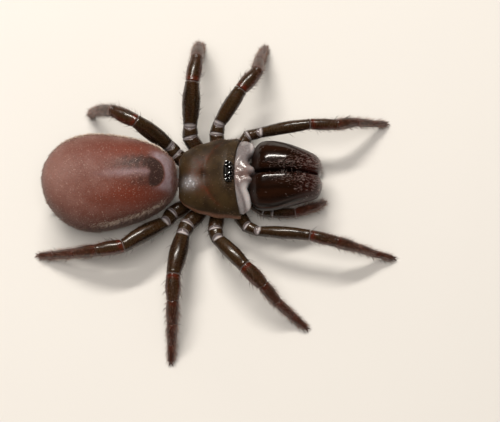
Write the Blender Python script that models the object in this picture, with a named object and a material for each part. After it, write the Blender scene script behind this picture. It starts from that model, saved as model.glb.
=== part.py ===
"""Purseweb spider of the African kind with giant chelicerae, life size, in one still pose.

Frame: +X runs from the abdomen to the head, +Y to the spider's left, +Z up, and the floor is z = 0.
The sizes below are in millimetres. body_from_rings turns them into metres as it makes a mesh.
The body axis passes over x = 0 at the waist, and centre_model moves the whole onto its own origin
at the end: the middle of the bounding box, at floor level.
"""

from dataclasses import dataclass
from math import cos, pi, radians, sin, sqrt

import bmesh
import bpy
import numpy as np
from mathutils import Vector

MM = 0.001
GAP = 0.3

# Abdomen: an egg whose blunt front end is at the waist, swung a little to the spider's right.
ABDOMEN_LENGTH = 13.4
ABDOMEN_HALF_WIDTH = 5.0
ABDOMEN_HEIGHT = 8.4
ABDOMEN_SINK = 0.45
ABDOMEN_WIDEST = 0.61
ABDOMEN_HIGHEST = 0.34
ABDOMEN_SWING = 3.6
ABDOMEN_FRONT_X = 0.2
ABDOMEN_END_LIFT = 0.35
ABDOMEN_TAIL_START = 0.6
ABDOMEN_TAIL_LIFT = 1.1
ABDOMEN_SQUARE = 2.1
ABDOMEN_SIDES = 30
ABDOMEN_STEPS = 22

# Spinnerets: reach, spread in degrees, relative thickness and rise of each finger.
SPINNERET_RADIUS = 0.34
SPINNERET_ROOT = (-11.76, 0.62, 1.34)
SPINNERET_FINGERS = ((1.4, 14, 0.85, 0.16), (0.8, -8, 0.7, -0.1), (0.75, 48, 0.75, -0.1))
FINGER_SHARES = (0.0, 0.3, 0.34, 0.62, 0.66, 0.95, 1.0)
FINGER_WIDTHS = (1.0, 1.0, 0.9, 0.86, 0.78, 0.66, 0.4)
FINGER_SIDES = 8
KNOB_FRONT = (-11.57, 0.62, 1.5)
KNOB_LENGTH = 0.5
KNOB_DROP = 0.3
KNOB_SHARES = (0.0, 0.3, 0.7, 1.0)
KNOB_RADII = (0.38, 0.44, 0.42, 0.28)
KNOB_WAY = (-0.5, 0.0, -0.4)
KNOB_SIDES = 10

# Carapace: rear edge, front edge at the midline, and how far its front corners reach beyond that.
CARAPACE_REAR = 0.5
CARAPACE_FRONT = 6.05
CARAPACE_CORNER = 0.65
CARAPACE_CORNER_POWER = 2.2
CARAPACE_HALF_WIDTH = 4.15
CARAPACE_REAR_SHARE = 0.6
CARAPACE_REAR_CUT = 0.1
CARAPACE_CUT_END = 0.09
CARAPACE_WIDEST = 0.82
CARAPACE_RIM = 3.8
CARAPACE_EDGE = 0.22
CARAPACE_UNDERSIDE = 3.3
CARAPACE_STEPS = 20
REAR_TOP = 4.25
THORAX_RISE = 1.15
THORAX_END = 0.33
HEAD_RISE = 0.85
HEAD_START = 0.45
BROW_START = 0.85
BROW_DROP = 0.2

# Eye group on the head, just behind the front edge: places are ahead of EYES_X and out from the midline.
EYES_X = 5.45
EYES_HALF_LENGTH = 0.5
EYES_HALF_WIDTH = 1.15
EYES_SQUARE = 2.4
EYES_RISE = 0.42
EYES_SIDES = 20
MOUND_LIFTS = (0.0, 0.14, 0.31, 0.41, 0.43)
MOUND_SHARES = (0.86, 1.0, 0.92, 0.7, 0.35)
EYE_SEAT = 0.3
EYE_SEAT_MARGIN = 0.35
EYE_SEAT_SLOPE = 2.5
EYE_GAP = 0.38
EYE_LARGE = 0.27
EYE_SMALL = 0.19
LARGE_EYE_PLACE = (0.14, 0.3)
SMALL_EYE_PLACES = ((0.12, 0.82), (-0.2, 0.92), (-0.22, 0.54))
BEAD_STEPS = 5
BEAD_SIDES = 8

# Pale folded skin between the carapace and the chelicerae.
FOLD_HALF_WIDTH = 3.75
FOLD_FRONT = 7.57
FOLD_TOP = 5.75
FOLD_TOP_DROP = 1.35
FOLD_BOTTOM = 3.3
FOLD_BOTTOM_RISE = 0.5
FOLD_BEND = 2.4
FOLD_SQUARE = 3.0
FOLD_STEP_PLACE = 0.65
FOLD_STEP_SLOPE = 2.5
FOLD_STEPS = 18
FOLD_SIDES = 12

# Chelicerae, seen as two halves of one dome: crest height, underside and outer width.
CHELICERA_BASE = 7.95
CHELICERA_TIP = 14.85
CHELICERA_OUTER = 3.6
CHELICERA_CREST = 1.15
CHELICERA_TOP = 6.35
CHELICERA_UNDER = 2.35
CHELICERA_AXIS = 0.15
CHELICERA_SWELL_SHARE = 0.24
CHELICERA_TAPER_START = 0.3
CHELICERA_DROP_START = 0.48
CHELICERA_NOSE_SHARE = 0.14
CHELICERA_BASE_DROP = 1.1
CHELICERA_RISE = 0.25
CHELICERA_DROP = 1.75
CHELICERA_NOSE_DROP = 0.7
CHELICERA_CREST_POWER = 1.8
CHELICERA_FLANK_POWER = 0.55
CHELICERA_SIDES = 18
CHELICERA_STEPS = 18
RIGHT_CHELICERA_SET_BACK = 0.3

# Fang, folded back along the underside of each chelicera.
FANG_RADIUS = 0.42
FANG_ROOT_X = 14.1
FANG_LENGTH = 5.2
FANG_Z = 1.8
FANG_DIP = 0.55
FANG_DIP_SHARE = 1.15
FANG_TIP_RISE = 0.15
FANG_OUT = 1.05
FANG_TURN_IN = 0.25
FANG_TAPER = 0.72
FANG_STEPS = 12
FANG_SIDES = 10

# Underside plate between the coxae, and the waist.
STERNUM_REAR = 1.0
STERNUM_FRONT = 6.6
STERNUM_HALF_WIDTH = 1.95
STERNUM_REAR_SHARE = 0.36
STERNUM_WIDEST = 0.6
STERNUM_LIP_START = 0.72
STERNUM_LIP_TAPER = 0.72
STERNUM_BOTTOM = 1.1
STERNUM_TOP = 2.95
STERNUM_STEPS = 10
STERNUM_SIDES = 16
WAIST_RADIUS = 0.5
WAIST_HEIGHT = 2.3
WAIST_PLACES = (STERNUM_REAR - GAP, 0.55, 0.4, 0.25)
WAIST_WIDTHS = (1.0, 0.9, 0.9, 1.0)
WAIST_SIDES = 12

# Limbs: points around a limb, and the height of the last joint that leaves a small flat on the floor.
LEG_SIDES = 10
FOOT_SIDES = 8
PAD_LIFT = 0.17
FEMUR_BOW = 0.22
TIP_ANGLES = (30, 60)
CLAW_REACH = 0.62
CLAW_THICK = 0.13
CLAW_DROOP = 0.12
CLAW_ARCH = 0.12
CLAW_SPLAY = 0.42
CLAW_ROOT_BACK = 0.1
CLAW_ROOT_LIFT = 0.02
CLAW_TAPER = 0.75
CLAW_NOD = 0.6
CLAW_STEPS = 4
CLAW_SIDES = 6

# Palps, turned as on the left: the broad base, the elbow where it turns forward, and the segments after it.
# The left one bends down towards the floor under its chelicera, the right one reaches forward.
PALP_BASE = (6.95, 1.0, 1.6)
PALP_ELBOW = (9.1, 2.8, 1.6)
PALP_LENGTHS = (0.9, 2.3, 1.1, 1.2, 1.5)
PALP_HEADINGS = {"left": (19, 0, -15, -25, -35), "right": (19, 0, -17, -24, -36)}
PALP_HEIGHTS = {"left": (1.85, 2.15, 2.42, 1.55, 0.42), "right": (1.85, 2.15, 2.25, 1.85, 0.95)}

# Each stretch of a palp: half-thickness at both ends, extra at its middle, upward bow, rings.
PALP_BASE_SPANS = ((0.62, 0.55, 0.1, 0.0, 5), (0.55, 0.42, 0.02, 0.0, 2))
PALP_FEMUR_SPANS = ((0.4, 0.42, 0.1, 0.06, 6),)
PALP_END_SPANS = ((0.42, 0.42, 0.05, 0.0, 3), (0.42, 0.38, 0.04, 0.0, 3), (0.38, 0.26, 0.02, 0.0, 3))


@dataclass(frozen=True)
class LegBuild:
    """Lengths and half-thicknesses shared by the two legs of one pair, in millimetres."""

    lengths: tuple
    joints: tuple
    bulges: tuple


@dataclass(frozen=True)
class LegPose:
    """Where one leg starts and which way each of its segments runs.

    hub is the inner end of the coxa and knuckle its outer end, headings are degrees from +X
    towards +Y, and heights are those of the far ends of the segments above the floor.
    """

    pair: int
    side: str
    hub: tuple
    knuckle: tuple
    headings: tuple
    heights: tuple


# Segments after the coxa: trochanter, femur, patella, tibia, metatarsus, tarsus.
# joints: half-thickness at the coxa's inner end, then at the far end of the coxa and each segment.
BUILDS = {
    1: LegBuild((1.3, 5.4, 2.6, 2.5, 2.4, 2.3), (0.5, 0.62, 0.5, 0.52, 0.52, 0.42, 0.34, 0.27),
                (0.12, 0.02, 0.12, 0.08, 0.1, 0.04, 0.03)),
    2: LegBuild((1.1, 4.3, 2.6, 2.3, 2.3, 2.1), (0.5, 0.74, 0.62, 0.64, 0.58, 0.48, 0.4, 0.29),
                (0.14, 0.04, 0.16, 0.16, 0.08, 0.04, 0.03)),
    3: LegBuild((1.2, 4.7, 2.6, 2.3, 2.3, 2.0), (0.5, 0.8, 0.68, 0.68, 0.58, 0.5, 0.42, 0.29),
                (0.14, 0.06, 0.26, 0.14, 0.1, 0.06, 0.03)),
    4: LegBuild((1.2, 5.2, 2.6, 2.5, 2.6, 2.0), (0.52, 0.74, 0.64, 0.66, 0.58, 0.48, 0.4, 0.29),
                (0.14, 0.06, 0.2, 0.12, 0.08, 0.05, 0.03)),
}

POSES = (
    LegPose(1, "left", (5.8, 2.15, 1.95), (7.4, 4.95, 2.65),
            (8, 4, 0, 20, 14, 16), (3.1, 4.8, 4.6, 3.3, 1.7, PAD_LIFT)),
    LegPose(1, "right", (5.8, -2.15, 1.95), (7.3, -4.7, 2.65),
            (-30, -8, -13, -8, -6, -6), (3.1, 4.2, 4.0, 2.8, 1.3, PAD_LIFT)),
    LegPose(2, "left", (4.45, 2.35, 1.95), (4.2, 5.1, 2.65),
            (76, 53, 51, 82, 78, 75), (3.1, 5.2, 5.0, 3.5, 1.8, PAD_LIFT)),
    LegPose(2, "right", (4.45, -2.35, 1.95), (4.1, -5.05, 2.65),
            (-76, -49, -45, -46, -35, -37), (3.0, 4.1, 3.7, 2.5, 1.1, PAD_LIFT)),
    LegPose(3, "left", (3.1, 2.35, 1.95), (1.5, 4.75, 2.65),
            (90, 86, 81, 86, 87, 84), (3.2, 5.9, 5.7, 4.1, 2.1, PAD_LIFT)),
    LegPose(3, "right", (3.15, -2.35, 1.95), (1.3, -4.55, 2.65),
            (-111, -101, -91, -92, -93, -93), (3.1, 4.1, 3.9, 2.7, 1.2, PAD_LIFT)),
    LegPose(4, "left", (1.55, 1.95, 1.9), (0.1, 3.0, 2.4),
            (133, 158, 151, 150, 146, 144), (2.9, 6.8, 6.3, 4.4, 2.05, PAD_LIFT)),
    LegPose(4, "right", (1.55, -1.95, 1.9), (-0.25, -3.24, 2.33),
            (-122, -146, -172, 180, 176, 173), (2.7, 3.8, 3.6, 2.5, 1.15, PAD_LIFT)),
)

SEGMENT_RINGS = {"coxa": 4, "trochanter": 2, "femur": 7, "patella": 4, "tibia": 4, "metatarsus": 3,
                 "tarsus": 3}


def clear_scene():
    """Removes every object of the scene that the script starts in."""
    for old in list(bpy.data.objects):
        bpy.data.objects.remove(old, do_unlink=True)


def finish(name, colour, roughness, metallic=0.0):
    """Returns a Principled material with the given base colour, roughness and metallic value."""
    material = bpy.data.materials.new(name)
    material.use_nodes = True
    shader = material.node_tree.nodes["Principled BSDF"]
    shader.inputs["Base Color"].default_value = (*colour, 1.0)
    shader.inputs["Roughness"].default_value = roughness
    shader.inputs["Metallic"].default_value = metallic
    return material


def body_from_rings(name, rings, material, strip_ends=False):
    """Makes one closed body through rings of equal point count.

    rings is an array of shape (rings, points, 3) in millimetres. Each end is closed by a fan, or with
    strip_ends by strips from each point of the ring's first half to its partner in the second half.
    """
    mesh = bpy.data.meshes.new(name)
    bm = bmesh.new()
    loops = [[bm.verts.new(Vector(point) * MM) for point in ring] for ring in rings]
    for near, far in zip(loops[:-1], loops[1:]):
        for i in range(len(near)):
            j = (i + 1) % len(near)
            bm.faces.new((near[i], near[j], far[j], far[i]))
    for loop, ring in ((loops[0], rings[0]), (loops[-1], rings[-1])):
        if strip_ends:
            close_with_strips(bm, loop)
        else:
            centre = bm.verts.new(Vector(np.mean(ring, axis=0)) * MM)
            for i in range(len(loop)):
                bm.faces.new((loop[i], loop[(i + 1) % len(loop)], centre))
    bmesh.ops.recalc_face_normals(bm, faces=bm.faces)
    if bm.calc_volume(signed=True) < 0:
        bmesh.ops.reverse_faces(bm, faces=bm.faces)
    bm.to_mesh(mesh)
    bm.free()
    mesh.shade_smooth()
    mesh.materials.append(material)
    body = bpy.data.objects.new(name, mesh)
    bpy.context.scene.collection.objects.link(body)
    return body


def close_with_strips(bm, loop):
    """Closes a ring of an even number of points by strips between points that face each other."""
    count, half = len(loop), len(loop) // 2
    bm.faces.new((loop[0], loop[1], loop[count - 1]))
    for i in range(1, half - 1):
        bm.faces.new((loop[i], loop[i + 1], loop[count - i - 1], loop[count - i]))
    bm.faces.new((loop[half - 1], loop[half], loop[half + 1]))


def fuse(body, extras):
    """Joins the closed bodies in extras to body by one Boolean union and keeps the largest surface."""
    group = bpy.data.collections.new(body.name + "_extras")
    for extra in extras:
        for holder in list(extra.users_collection):
            holder.objects.unlink(extra)
        group.objects.link(extra)
    bpy.context.scene.collection.children.link(group)
    union = body.modifiers.new("union", "BOOLEAN")
    union.operation = "UNION"
    union.operand_type = "COLLECTION"
    union.collection = group
    union.solver = "EXACT"
    bpy.context.view_layer.update()
    fused = bpy.data.meshes.new_from_object(body.evaluated_get(bpy.context.evaluated_depsgraph_get()))
    body.modifiers.clear()
    body.data = fused
    for extra in extras:
        bpy.data.objects.remove(extra, do_unlink=True)
    bpy.data.collections.remove(group)
    keep_largest_surface(fused)
    fused.shade_smooth()


def keep_largest_surface(mesh):
    """Drops every connected surface of the mesh but the one with the most faces."""
    bm = bmesh.new()
    bm.from_mesh(mesh)
    left = set(bm.faces)
    islands = []
    while left:
        island = {left.pop()}
        front = list(island)
        while front:
            for edge in front.pop().edges:
                for face in edge.link_faces:
                    if face in left:
                        left.remove(face)
                        island.add(face)
                        front.append(face)
        islands.append(island)
    islands.sort(key=len)
    for island in islands[:-1]:
        bmesh.ops.delete(bm, geom=list(island), context="FACES")
    bm.to_mesh(mesh)
    bm.free()


def oval(angle, half, power):
    """Signed superellipse coordinate of the given half-size at an angle."""
    value = cos(angle)
    return half * abs(value) ** (2.0 / power) * (1.0 if value >= 0 else -1.0)


def oval_section(sides, half_width, half_height, power=2.0):
    """Closed outline around the origin as an array of (sideways, upward) pairs."""
    angles = [2.0 * pi * i / sides for i in range(sides)]
    return np.array([(oval(a, half_width, power), oval(a - pi / 2, half_height, power)) for a in angles])


def unit(vector):
    """The vector scaled to length one."""
    vector = np.asarray(vector, float)
    return vector / np.linalg.norm(vector)


def swept_rings(centres, normals, radii, sides, deepen=1.05):
    """Rings around a path: each is upright, square to its normal, and a little deeper than wide."""
    rings = []
    for centre, normal, radius in zip(centres, normals, radii):
        sideways = unit(np.cross((0.0, 0.0, 1.0), normal))
        upward = np.cross(normal, sideways)
        outline = oval_section(sides, radius, radius * deepen)
        rings.append(centre + outline[:, :1] * sideways + outline[:, 1:] * upward)
    return np.array(rings)


def bent_tube(name, points, bends, spans, sides, material, round_tip=False, gaps=(True, True)):
    """A closed tube through points, cut square to bends[0] and bends[-1] at its two ends.

    bends holds the normal of the plane at each point. spans holds, for each stretch, its half-thickness
    at both ends, the extra at its middle, its upward bow and its count of rings.
    """
    centres, normals, radii = [], [], []
    last = len(spans) - 1
    for k, (start_radius, end_radius, bulge, bow, count) in enumerate(spans):
        start, end = points[k].copy(), points[k + 1].copy()
        along = unit(end - start)
        if k == 0 and gaps[0]:
            start = start + along * GAP / 2
        if k == last and gaps[1]:
            end = end - along * GAP / 2
        for i in range(count if k < last else count + 1):
            t = i / count
            centres.append(start + (end - start) * t + np.array((0.0, 0.0, bow * sin(pi * t))))
            normals.append(unit(bends[k] * (1 - t) + bends[k + 1] * t))
            radii.append(start_radius + (end_radius - start_radius) * t + bulge * sin(pi * t))
    if round_tip:
        tip, along, radius = centres[-1], normals[-1], radii[-1]
        for angle in TIP_ANGLES:
            centres.append(tip + along * radius * sin(radians(angle)))
            normals.append(along)
            radii.append(radius * cos(radians(angle)))
    return body_from_rings(name, swept_rings(centres, normals, radii, sides), material)


def set_on_floor(body):
    """Lifts every point that is under the floor up to it, which leaves a small flat there."""
    for vertex in body.data.vertices:
        vertex.co.z = max(vertex.co.z, 0.0)


def claw(root, heading, material):
    """One short curved claw that starts inside the tip of a foot."""
    way = np.array((cos(heading), sin(heading), 0.0))
    centres, normals, radii = [], [], []
    for i in range(CLAW_STEPS + 1):
        t = i / CLAW_STEPS
        lift = CLAW_ARCH * sin(pi * t) - CLAW_DROOP * t * t
        centres.append(root + way * CLAW_REACH * t + np.array((0.0, 0.0, lift)))
        normals.append(unit(way - np.array((0.0, 0.0, CLAW_NOD * t))))
        radii.append(CLAW_THICK * (1.0 - CLAW_TAPER * t))
    return body_from_rings("claw", swept_rings(centres, normals, radii, CLAW_SIDES), material)


def joint_points(start, lengths, headings, heights):
    """Joint positions along a limb from each segment's length, heading and far-end height."""
    points = [np.array(start, float)]
    for length, heading, height in zip(lengths, headings, heights):
        rise = height - points[-1][2]
        level = sqrt(length * length - rise * rise)
        step = np.array((level * cos(radians(heading)), level * sin(radians(heading)), rise))
        points.append(points[-1] + step)
    return points


def bend_planes(points):
    """Plane normals at the joints: the mean direction of the two segments that meet there."""
    ways = [unit(b - a) for a, b in zip(points[:-1], points[1:])]
    return [ways[0]] + [unit(a + b) for a, b in zip(ways[:-1], ways[1:])] + [ways[-1]]


def build_leg(pose, materials):
    """One leg as four nodes: coxa with trochanter, femur, patella with tibia, and foot with claws."""
    build = BUILDS[pose.pair]
    base = f"leg_{pose.pair}_{pose.side}"
    points = [np.array(pose.hub, float)]
    points += joint_points(pose.knuckle, build.lengths, pose.headings, pose.heights)
    bends = bend_planes(points)
    joints, bulges = build.joints, build.bulges
    names = list(SEGMENT_RINGS)

    def span(k, bow=0.0):
        return (joints[k], joints[k + 1], bulges[k], bow, SEGMENT_RINGS[names[k]])

    bent_tube(base + "_coxa", points[0:3], bends[0:3], [span(0), span(1)], LEG_SIDES,
              materials["limb"], gaps=(False, True))
    bent_tube(base + "_femur", points[2:4], bends[2:4], [span(2, FEMUR_BOW)], LEG_SIDES, materials["limb"])
    bent_tube(base + "_shank", points[3:6], bends[3:6], [span(3), span(4)], LEG_SIDES, materials["limb"])
    foot = bent_tube(base + "_foot", points[5:8], bends[5:8], [span(5), span(6)], FOOT_SIDES,
                     materials["foot"], round_tip=True, gaps=(True, False))
    set_on_floor(foot)
    heading = radians(pose.headings[-1])
    back = CLAW_ROOT_BACK
    root = points[7] - np.array((back * cos(heading), back * sin(heading), -CLAW_ROOT_LIFT))
    fuse(foot, [claw(root, heading + splay, materials["claw"]) for splay in (-CLAW_SPLAY, CLAW_SPLAY)])


def build_palp(side, materials):
    """One palp as three nodes: its broad base under the mouth, the femur, and the rest with its tip."""
    sign = 1 if side == "left" else -1
    mirror = np.array((1.0, sign, 1.0))
    headings = [angle * sign for angle in PALP_HEADINGS[side]]
    points = [np.array(PALP_BASE) * mirror]
    points += joint_points(np.array(PALP_ELBOW) * mirror, PALP_LENGTHS, headings, PALP_HEIGHTS[side])
    bends = bend_planes(points)
    base = f"palp_{side}"
    bent_tube(base + "_base", points[0:3], bends[0:3], PALP_BASE_SPANS, LEG_SIDES,
              materials["limb"], gaps=(False, True))
    bent_tube(base + "_femur", points[2:4], bends[2:4], PALP_FEMUR_SPANS, LEG_SIDES, materials["limb"])
    bent_tube(base + "_end", points[3:7], bends[3:7], PALP_END_SPANS, LEG_SIDES,
              materials["foot"], round_tip=True, gaps=(True, False))


def abdomen_width(t):
    """Relative width of the abdomen at a share t of its length: blunt in front, elliptical behind."""
    if t < ABDOMEN_WIDEST:
        return max(1.0 - (1.0 - t / ABDOMEN_WIDEST) ** 1.28, 0.0) ** 0.36
    return max(1.0 - ((t - ABDOMEN_WIDEST) / (1.0 - ABDOMEN_WIDEST)) ** 2.1, 0.0) ** 0.5


def abdomen_height(t):
    """Relative height of the abdomen: it rises steeply to the front third and falls away behind."""
    if t < ABDOMEN_HIGHEST:
        return max(1.0 - (1.0 - t / ABDOMEN_HIGHEST) ** 2.4, 0.0) ** 0.5
    return max(1.0 - ((t - ABDOMEN_HIGHEST) / (1.0 - ABDOMEN_HIGHEST)) ** 2.3, 0.0) ** 0.5


def build_abdomen(materials):
    """The egg-shaped abdomen, resting on a flat under its middle."""
    rings = []
    half_height = (ABDOMEN_HEIGHT + ABDOMEN_SINK) / 2
    for i in range(ABDOMEN_STEPS + 1):
        t = 0.5 - 0.5 * cos(pi * (i + 0.35) / (ABDOMEN_STEPS + 0.7))
        wide, high = abdomen_width(t), abdomen_height(t)
        tail = max(t - ABDOMEN_TAIL_START, 0.0) / (1.0 - ABDOMEN_TAIL_START)
        rise = ABDOMEN_END_LIFT * (1.0 - high) + ABDOMEN_TAIL_LIFT * tail ** 2
        centre_z = half_height - ABDOMEN_SINK + rise
        outline = oval_section(ABDOMEN_SIDES, ABDOMEN_HALF_WIDTH * wide, half_height * high, ABDOMEN_SQUARE)
        back = ABDOMEN_FRONT_X - t * ABDOMEN_LENGTH
        rings.append([(back, across, max(centre_z + up, 0.0)) for across, up in outline])
    body = body_from_rings("abdomen", np.array(rings), materials["abdomen"])
    turn_about_waist(body, radians(ABDOMEN_SWING))


def build_spinnerets(materials):
    """Two groups of spinning fingers under the rear of the abdomen, each fused to a common knob."""
    for side, sign in (("left", 1), ("right", -1)):
        mirror = np.array((1.0, sign, 1.0))
        fingers = []
        for reach, spread, thick, rise in SPINNERET_FINGERS:
            heading = pi - radians(spread) * sign
            way = np.array((cos(heading), sin(heading), rise))
            centres = [np.array(SPINNERET_ROOT) * mirror + way * reach * t for t in FINGER_SHARES]
            radii = [SPINNERET_RADIUS * thick * width for width in FINGER_WIDTHS]
            rings = swept_rings(centres, [unit(way)] * len(centres), radii, FINGER_SIDES)
            fingers.append(body_from_rings("finger", rings, materials["spinneret"]))
        back = np.array((KNOB_LENGTH, 0.0, KNOB_DROP))
        knob = [np.array(KNOB_FRONT) * mirror - back * t for t in KNOB_SHARES]
        rings = swept_rings(knob, [unit(KNOB_WAY)] * len(knob), KNOB_RADII, KNOB_SIDES)
        body = body_from_rings(f"spinnerets_{side}", rings, materials["spinneret"])
        fuse(body, fingers)
        turn_about_waist(body, radians(ABDOMEN_SWING))


def turn_about_waist(body, angle):
    """Turns a body about the upright line through the front end of the abdomen."""
    for vertex in body.data.vertices:
        x, y = vertex.co.x - ABDOMEN_FRONT_X * MM, vertex.co.y
        vertex.co.x = ABDOMEN_FRONT_X * MM + x * cos(angle) - y * sin(angle)
        vertex.co.y = x * sin(angle) + y * cos(angle)


def carapace_half_width(u):
    """Half-width of the carapace at a share u of its length, from the rear edge with its cut corners."""
    swell = 1.0 - (1.0 - min(u / CARAPACE_WIDEST, 1.0)) ** 2.1
    cut = CARAPACE_REAR_CUT * max(1.0 - u / CARAPACE_CUT_END, 0.0)
    return CARAPACE_HALF_WIDTH * (CARAPACE_REAR_SHARE + (1.0 - CARAPACE_REAR_SHARE) * swell - cut)


def carapace_crown(u):
    """Height of the midline: a quick rise over the thorax, a gentle one to the head, a drop at the brow."""
    thorax = 1.0 - (1.0 - min(u / THORAX_END, 1.0)) ** 2.6
    head = min(max((u - HEAD_START) / (BROW_START - HEAD_START), 0.0), 1.0)
    brow = max(u - BROW_START, 0.0) / (1.0 - BROW_START)
    return REAR_TOP + THORAX_RISE * thorax + HEAD_RISE * head * head * (3.0 - 2.0 * head) - BROW_DROP * brow


def carapace_top(u, s):
    """Height of the upper surface at a share u of the length and a share s of the half-width."""
    x = CARAPACE_REAR + (CARAPACE_FRONT - CARAPACE_REAR) * u
    ahead = (x - EYES_X) / (EYES_HALF_LENGTH + EYE_SEAT_MARGIN)
    across = s * CARAPACE_HALF_WIDTH / (EYES_HALF_WIDTH + EYE_SEAT_MARGIN)
    seat = EYE_SEAT * min(EYE_SEAT_SLOPE * max(1.0 - ahead ** 2 - across ** 2, 0.0), 1.0)
    bell = max(1.0 - abs(s) ** 2.5, 0.0) ** 0.62
    return CARAPACE_RIM + (carapace_crown(u) - CARAPACE_RIM) * bell - seat


def carapace_point(u, s):
    """Plan position of a point of the carapace: x and y in millimetres."""
    length = CARAPACE_FRONT + CARAPACE_CORNER * abs(s) ** CARAPACE_CORNER_POWER - CARAPACE_REAR
    return CARAPACE_REAR + length * u, carapace_half_width(u) * s


def build_carapace(materials):
    """The domed back plate: raised head in front, lower thorax behind, a blunt rim all round."""
    count = CARAPACE_STEPS
    shares = [sin(pi * (i / count - 0.5) * 0.96) / sin(pi * 0.48) for i in range(count + 1)]
    rim_rise = CARAPACE_RIM - CARAPACE_EDGE - CARAPACE_UNDERSIDE
    rings = []
    for k in range(CARAPACE_STEPS + 1):
        u = k / CARAPACE_STEPS
        ring = [(*carapace_point(u, s), carapace_top(u, s)) for s in shares]
        for s in shares[-2:0:-1]:
            ring.append((*carapace_point(u, s), CARAPACE_UNDERSIDE + rim_rise * s * s))
        rings.append(ring)
    return body_from_rings("carapace", np.array(rings), materials["carapace"], strip_ends=True)


def build_eyes(materials):
    """The eye mound: a low oval boss that follows the head, with two large and six small eyes."""
    rings = []
    for lift, share in zip(MOUND_LIFTS, MOUND_SHARES):
        ring = []
        for i in range(EYES_SIDES):
            angle = 2.0 * pi * i / EYES_SIDES
            x = EYES_X + oval(angle, EYES_HALF_LENGTH, EYES_SQUARE) * share
            y = oval(angle - pi / 2, EYES_HALF_WIDTH, EYES_SQUARE) * share
            ring.append((x, y, head_height(x, y) + EYE_GAP + lift))
        rings.append(ring)
    mound = body_from_rings("eyes", np.array(rings), materials["eye"])
    beads = []
    spots = [(*LARGE_EYE_PLACE, EYE_LARGE)] + [(*place, EYE_SMALL) for place in SMALL_EYE_PLACES]
    for sign in (1, -1):
        for forward, out, radius in spots:
            x, y = EYES_X + forward, out * sign
            centre = np.array((x, y, head_height(x, y) + EYE_GAP + EYES_RISE))
            beads.append(bead(centre, radius, materials["eye"]))
    fuse(mound, beads)


def head_height(x, y):
    """Height of the carapace above a plan position on the head."""
    u = (x - CARAPACE_REAR) / (CARAPACE_FRONT - CARAPACE_REAR)
    return carapace_top(u, y / carapace_half_width(u))


def bead(centre, radius, material):
    """A small ball."""
    rings = []
    for k in range(1, BEAD_STEPS):
        angle = pi * k / BEAD_STEPS
        outline = oval_section(BEAD_SIDES, radius * sin(angle), radius * sin(angle))
        rings.append([centre + (a, b, radius * cos(angle)) for a, b in outline])
    return body_from_rings("bead", np.array(rings), material)


def build_front_fold(materials):
    """The pale folded skin in front of the carapace, as one curved band across the head."""
    rings = []
    for k in range(FOLD_STEPS + 1):
        s = -1.0 + 2.0 * k / FOLD_STEPS
        y = FOLD_HALF_WIDTH * s
        corner = CARAPACE_CORNER * abs(y / CARAPACE_HALF_WIDTH) ** CARAPACE_CORNER_POWER
        rear = CARAPACE_FRONT + corner + GAP
        to_right = min(max(FOLD_STEP_PLACE - FOLD_STEP_SLOPE * s, 0.0), 1.0)
        front = FOLD_FRONT - RIGHT_CHELICERA_SET_BACK * to_right
        top = FOLD_TOP - FOLD_TOP_DROP * abs(s) ** FOLD_BEND
        bottom = FOLD_BOTTOM + FOLD_BOTTOM_RISE * abs(s) ** FOLD_BEND
        outline = oval_section(FOLD_SIDES, (front - rear) / 2, (top - bottom) / 2, FOLD_SQUARE)
        rings.append([((rear + front) / 2 + a, y, (top + bottom) / 2 + b) for a, b in outline])
    return body_from_rings("front_fold", np.array(rings), materials["fold"])


def chelicera_sizes(t):
    """Outer reach, crest offset, top and underside of a chelicera at a share t of its length."""
    swell = 1.0 - (1.0 - min(t / CHELICERA_SWELL_SHARE, 1.0)) ** 2.2
    taper = max(t - CHELICERA_TAPER_START, 0.0) / (1.0 - CHELICERA_TAPER_START)
    drop = max(t - CHELICERA_DROP_START, 0.0) / (1.0 - CHELICERA_DROP_START)
    nose_start = 1.0 - CHELICERA_NOSE_SHARE
    nose = max(1.0 - max(t - nose_start, 0.0) ** 2 / CHELICERA_NOSE_SHARE ** 2, 0.0) ** 0.5
    outer = CHELICERA_OUTER * (0.8 + 0.2 * swell) * (1.0 - 0.44 * taper ** 1.35)
    outer *= 0.72 + 0.28 * nose
    crest = CHELICERA_CREST * (1.0 - 0.2 * taper)
    top = CHELICERA_TOP - CHELICERA_BASE_DROP * (1.0 - swell) - CHELICERA_NOSE_DROP * (1.0 - nose)
    top += CHELICERA_RISE * min(t / CHELICERA_DROP_START, 1.0) - CHELICERA_DROP * drop ** 1.8
    under = CHELICERA_UNDER + 0.5 * (1.0 - swell) + 0.15 * taper + 0.5 * (1.0 - nose)
    return outer, crest, top, under


def chelicera_section(angle, outer, crest, top, under):
    """One point of a chelicera's section: (out from the midline, up).

    Above, the height falls from the crest as (1 - q^a)^b, where q is the share of the way to the edge,
    so that the crest is a soft ridge. Below, the section is a half oval.
    """
    inner = GAP / 2
    reach = outer - crest if cos(angle) >= 0 else crest - inner
    middle = (top + under) / 2
    if sin(angle) < 0:
        out = crest + oval(angle, reach, 2.1 if cos(angle) >= 0 else 3.0)
        return out, middle + oval(angle - pi / 2, (top - under) / 2, 2.3)
    if cos(angle) < 0:
        return crest + oval(angle, reach, 3.0), middle + oval(angle - pi / 2, (top - under) / 2, 2.3)
    share = cos(angle)
    fall = max(1.0 - share ** CHELICERA_CREST_POWER, 0.0) ** CHELICERA_FLANK_POWER
    return crest + reach * share, middle + (top - under) / 2 * fall


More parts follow.
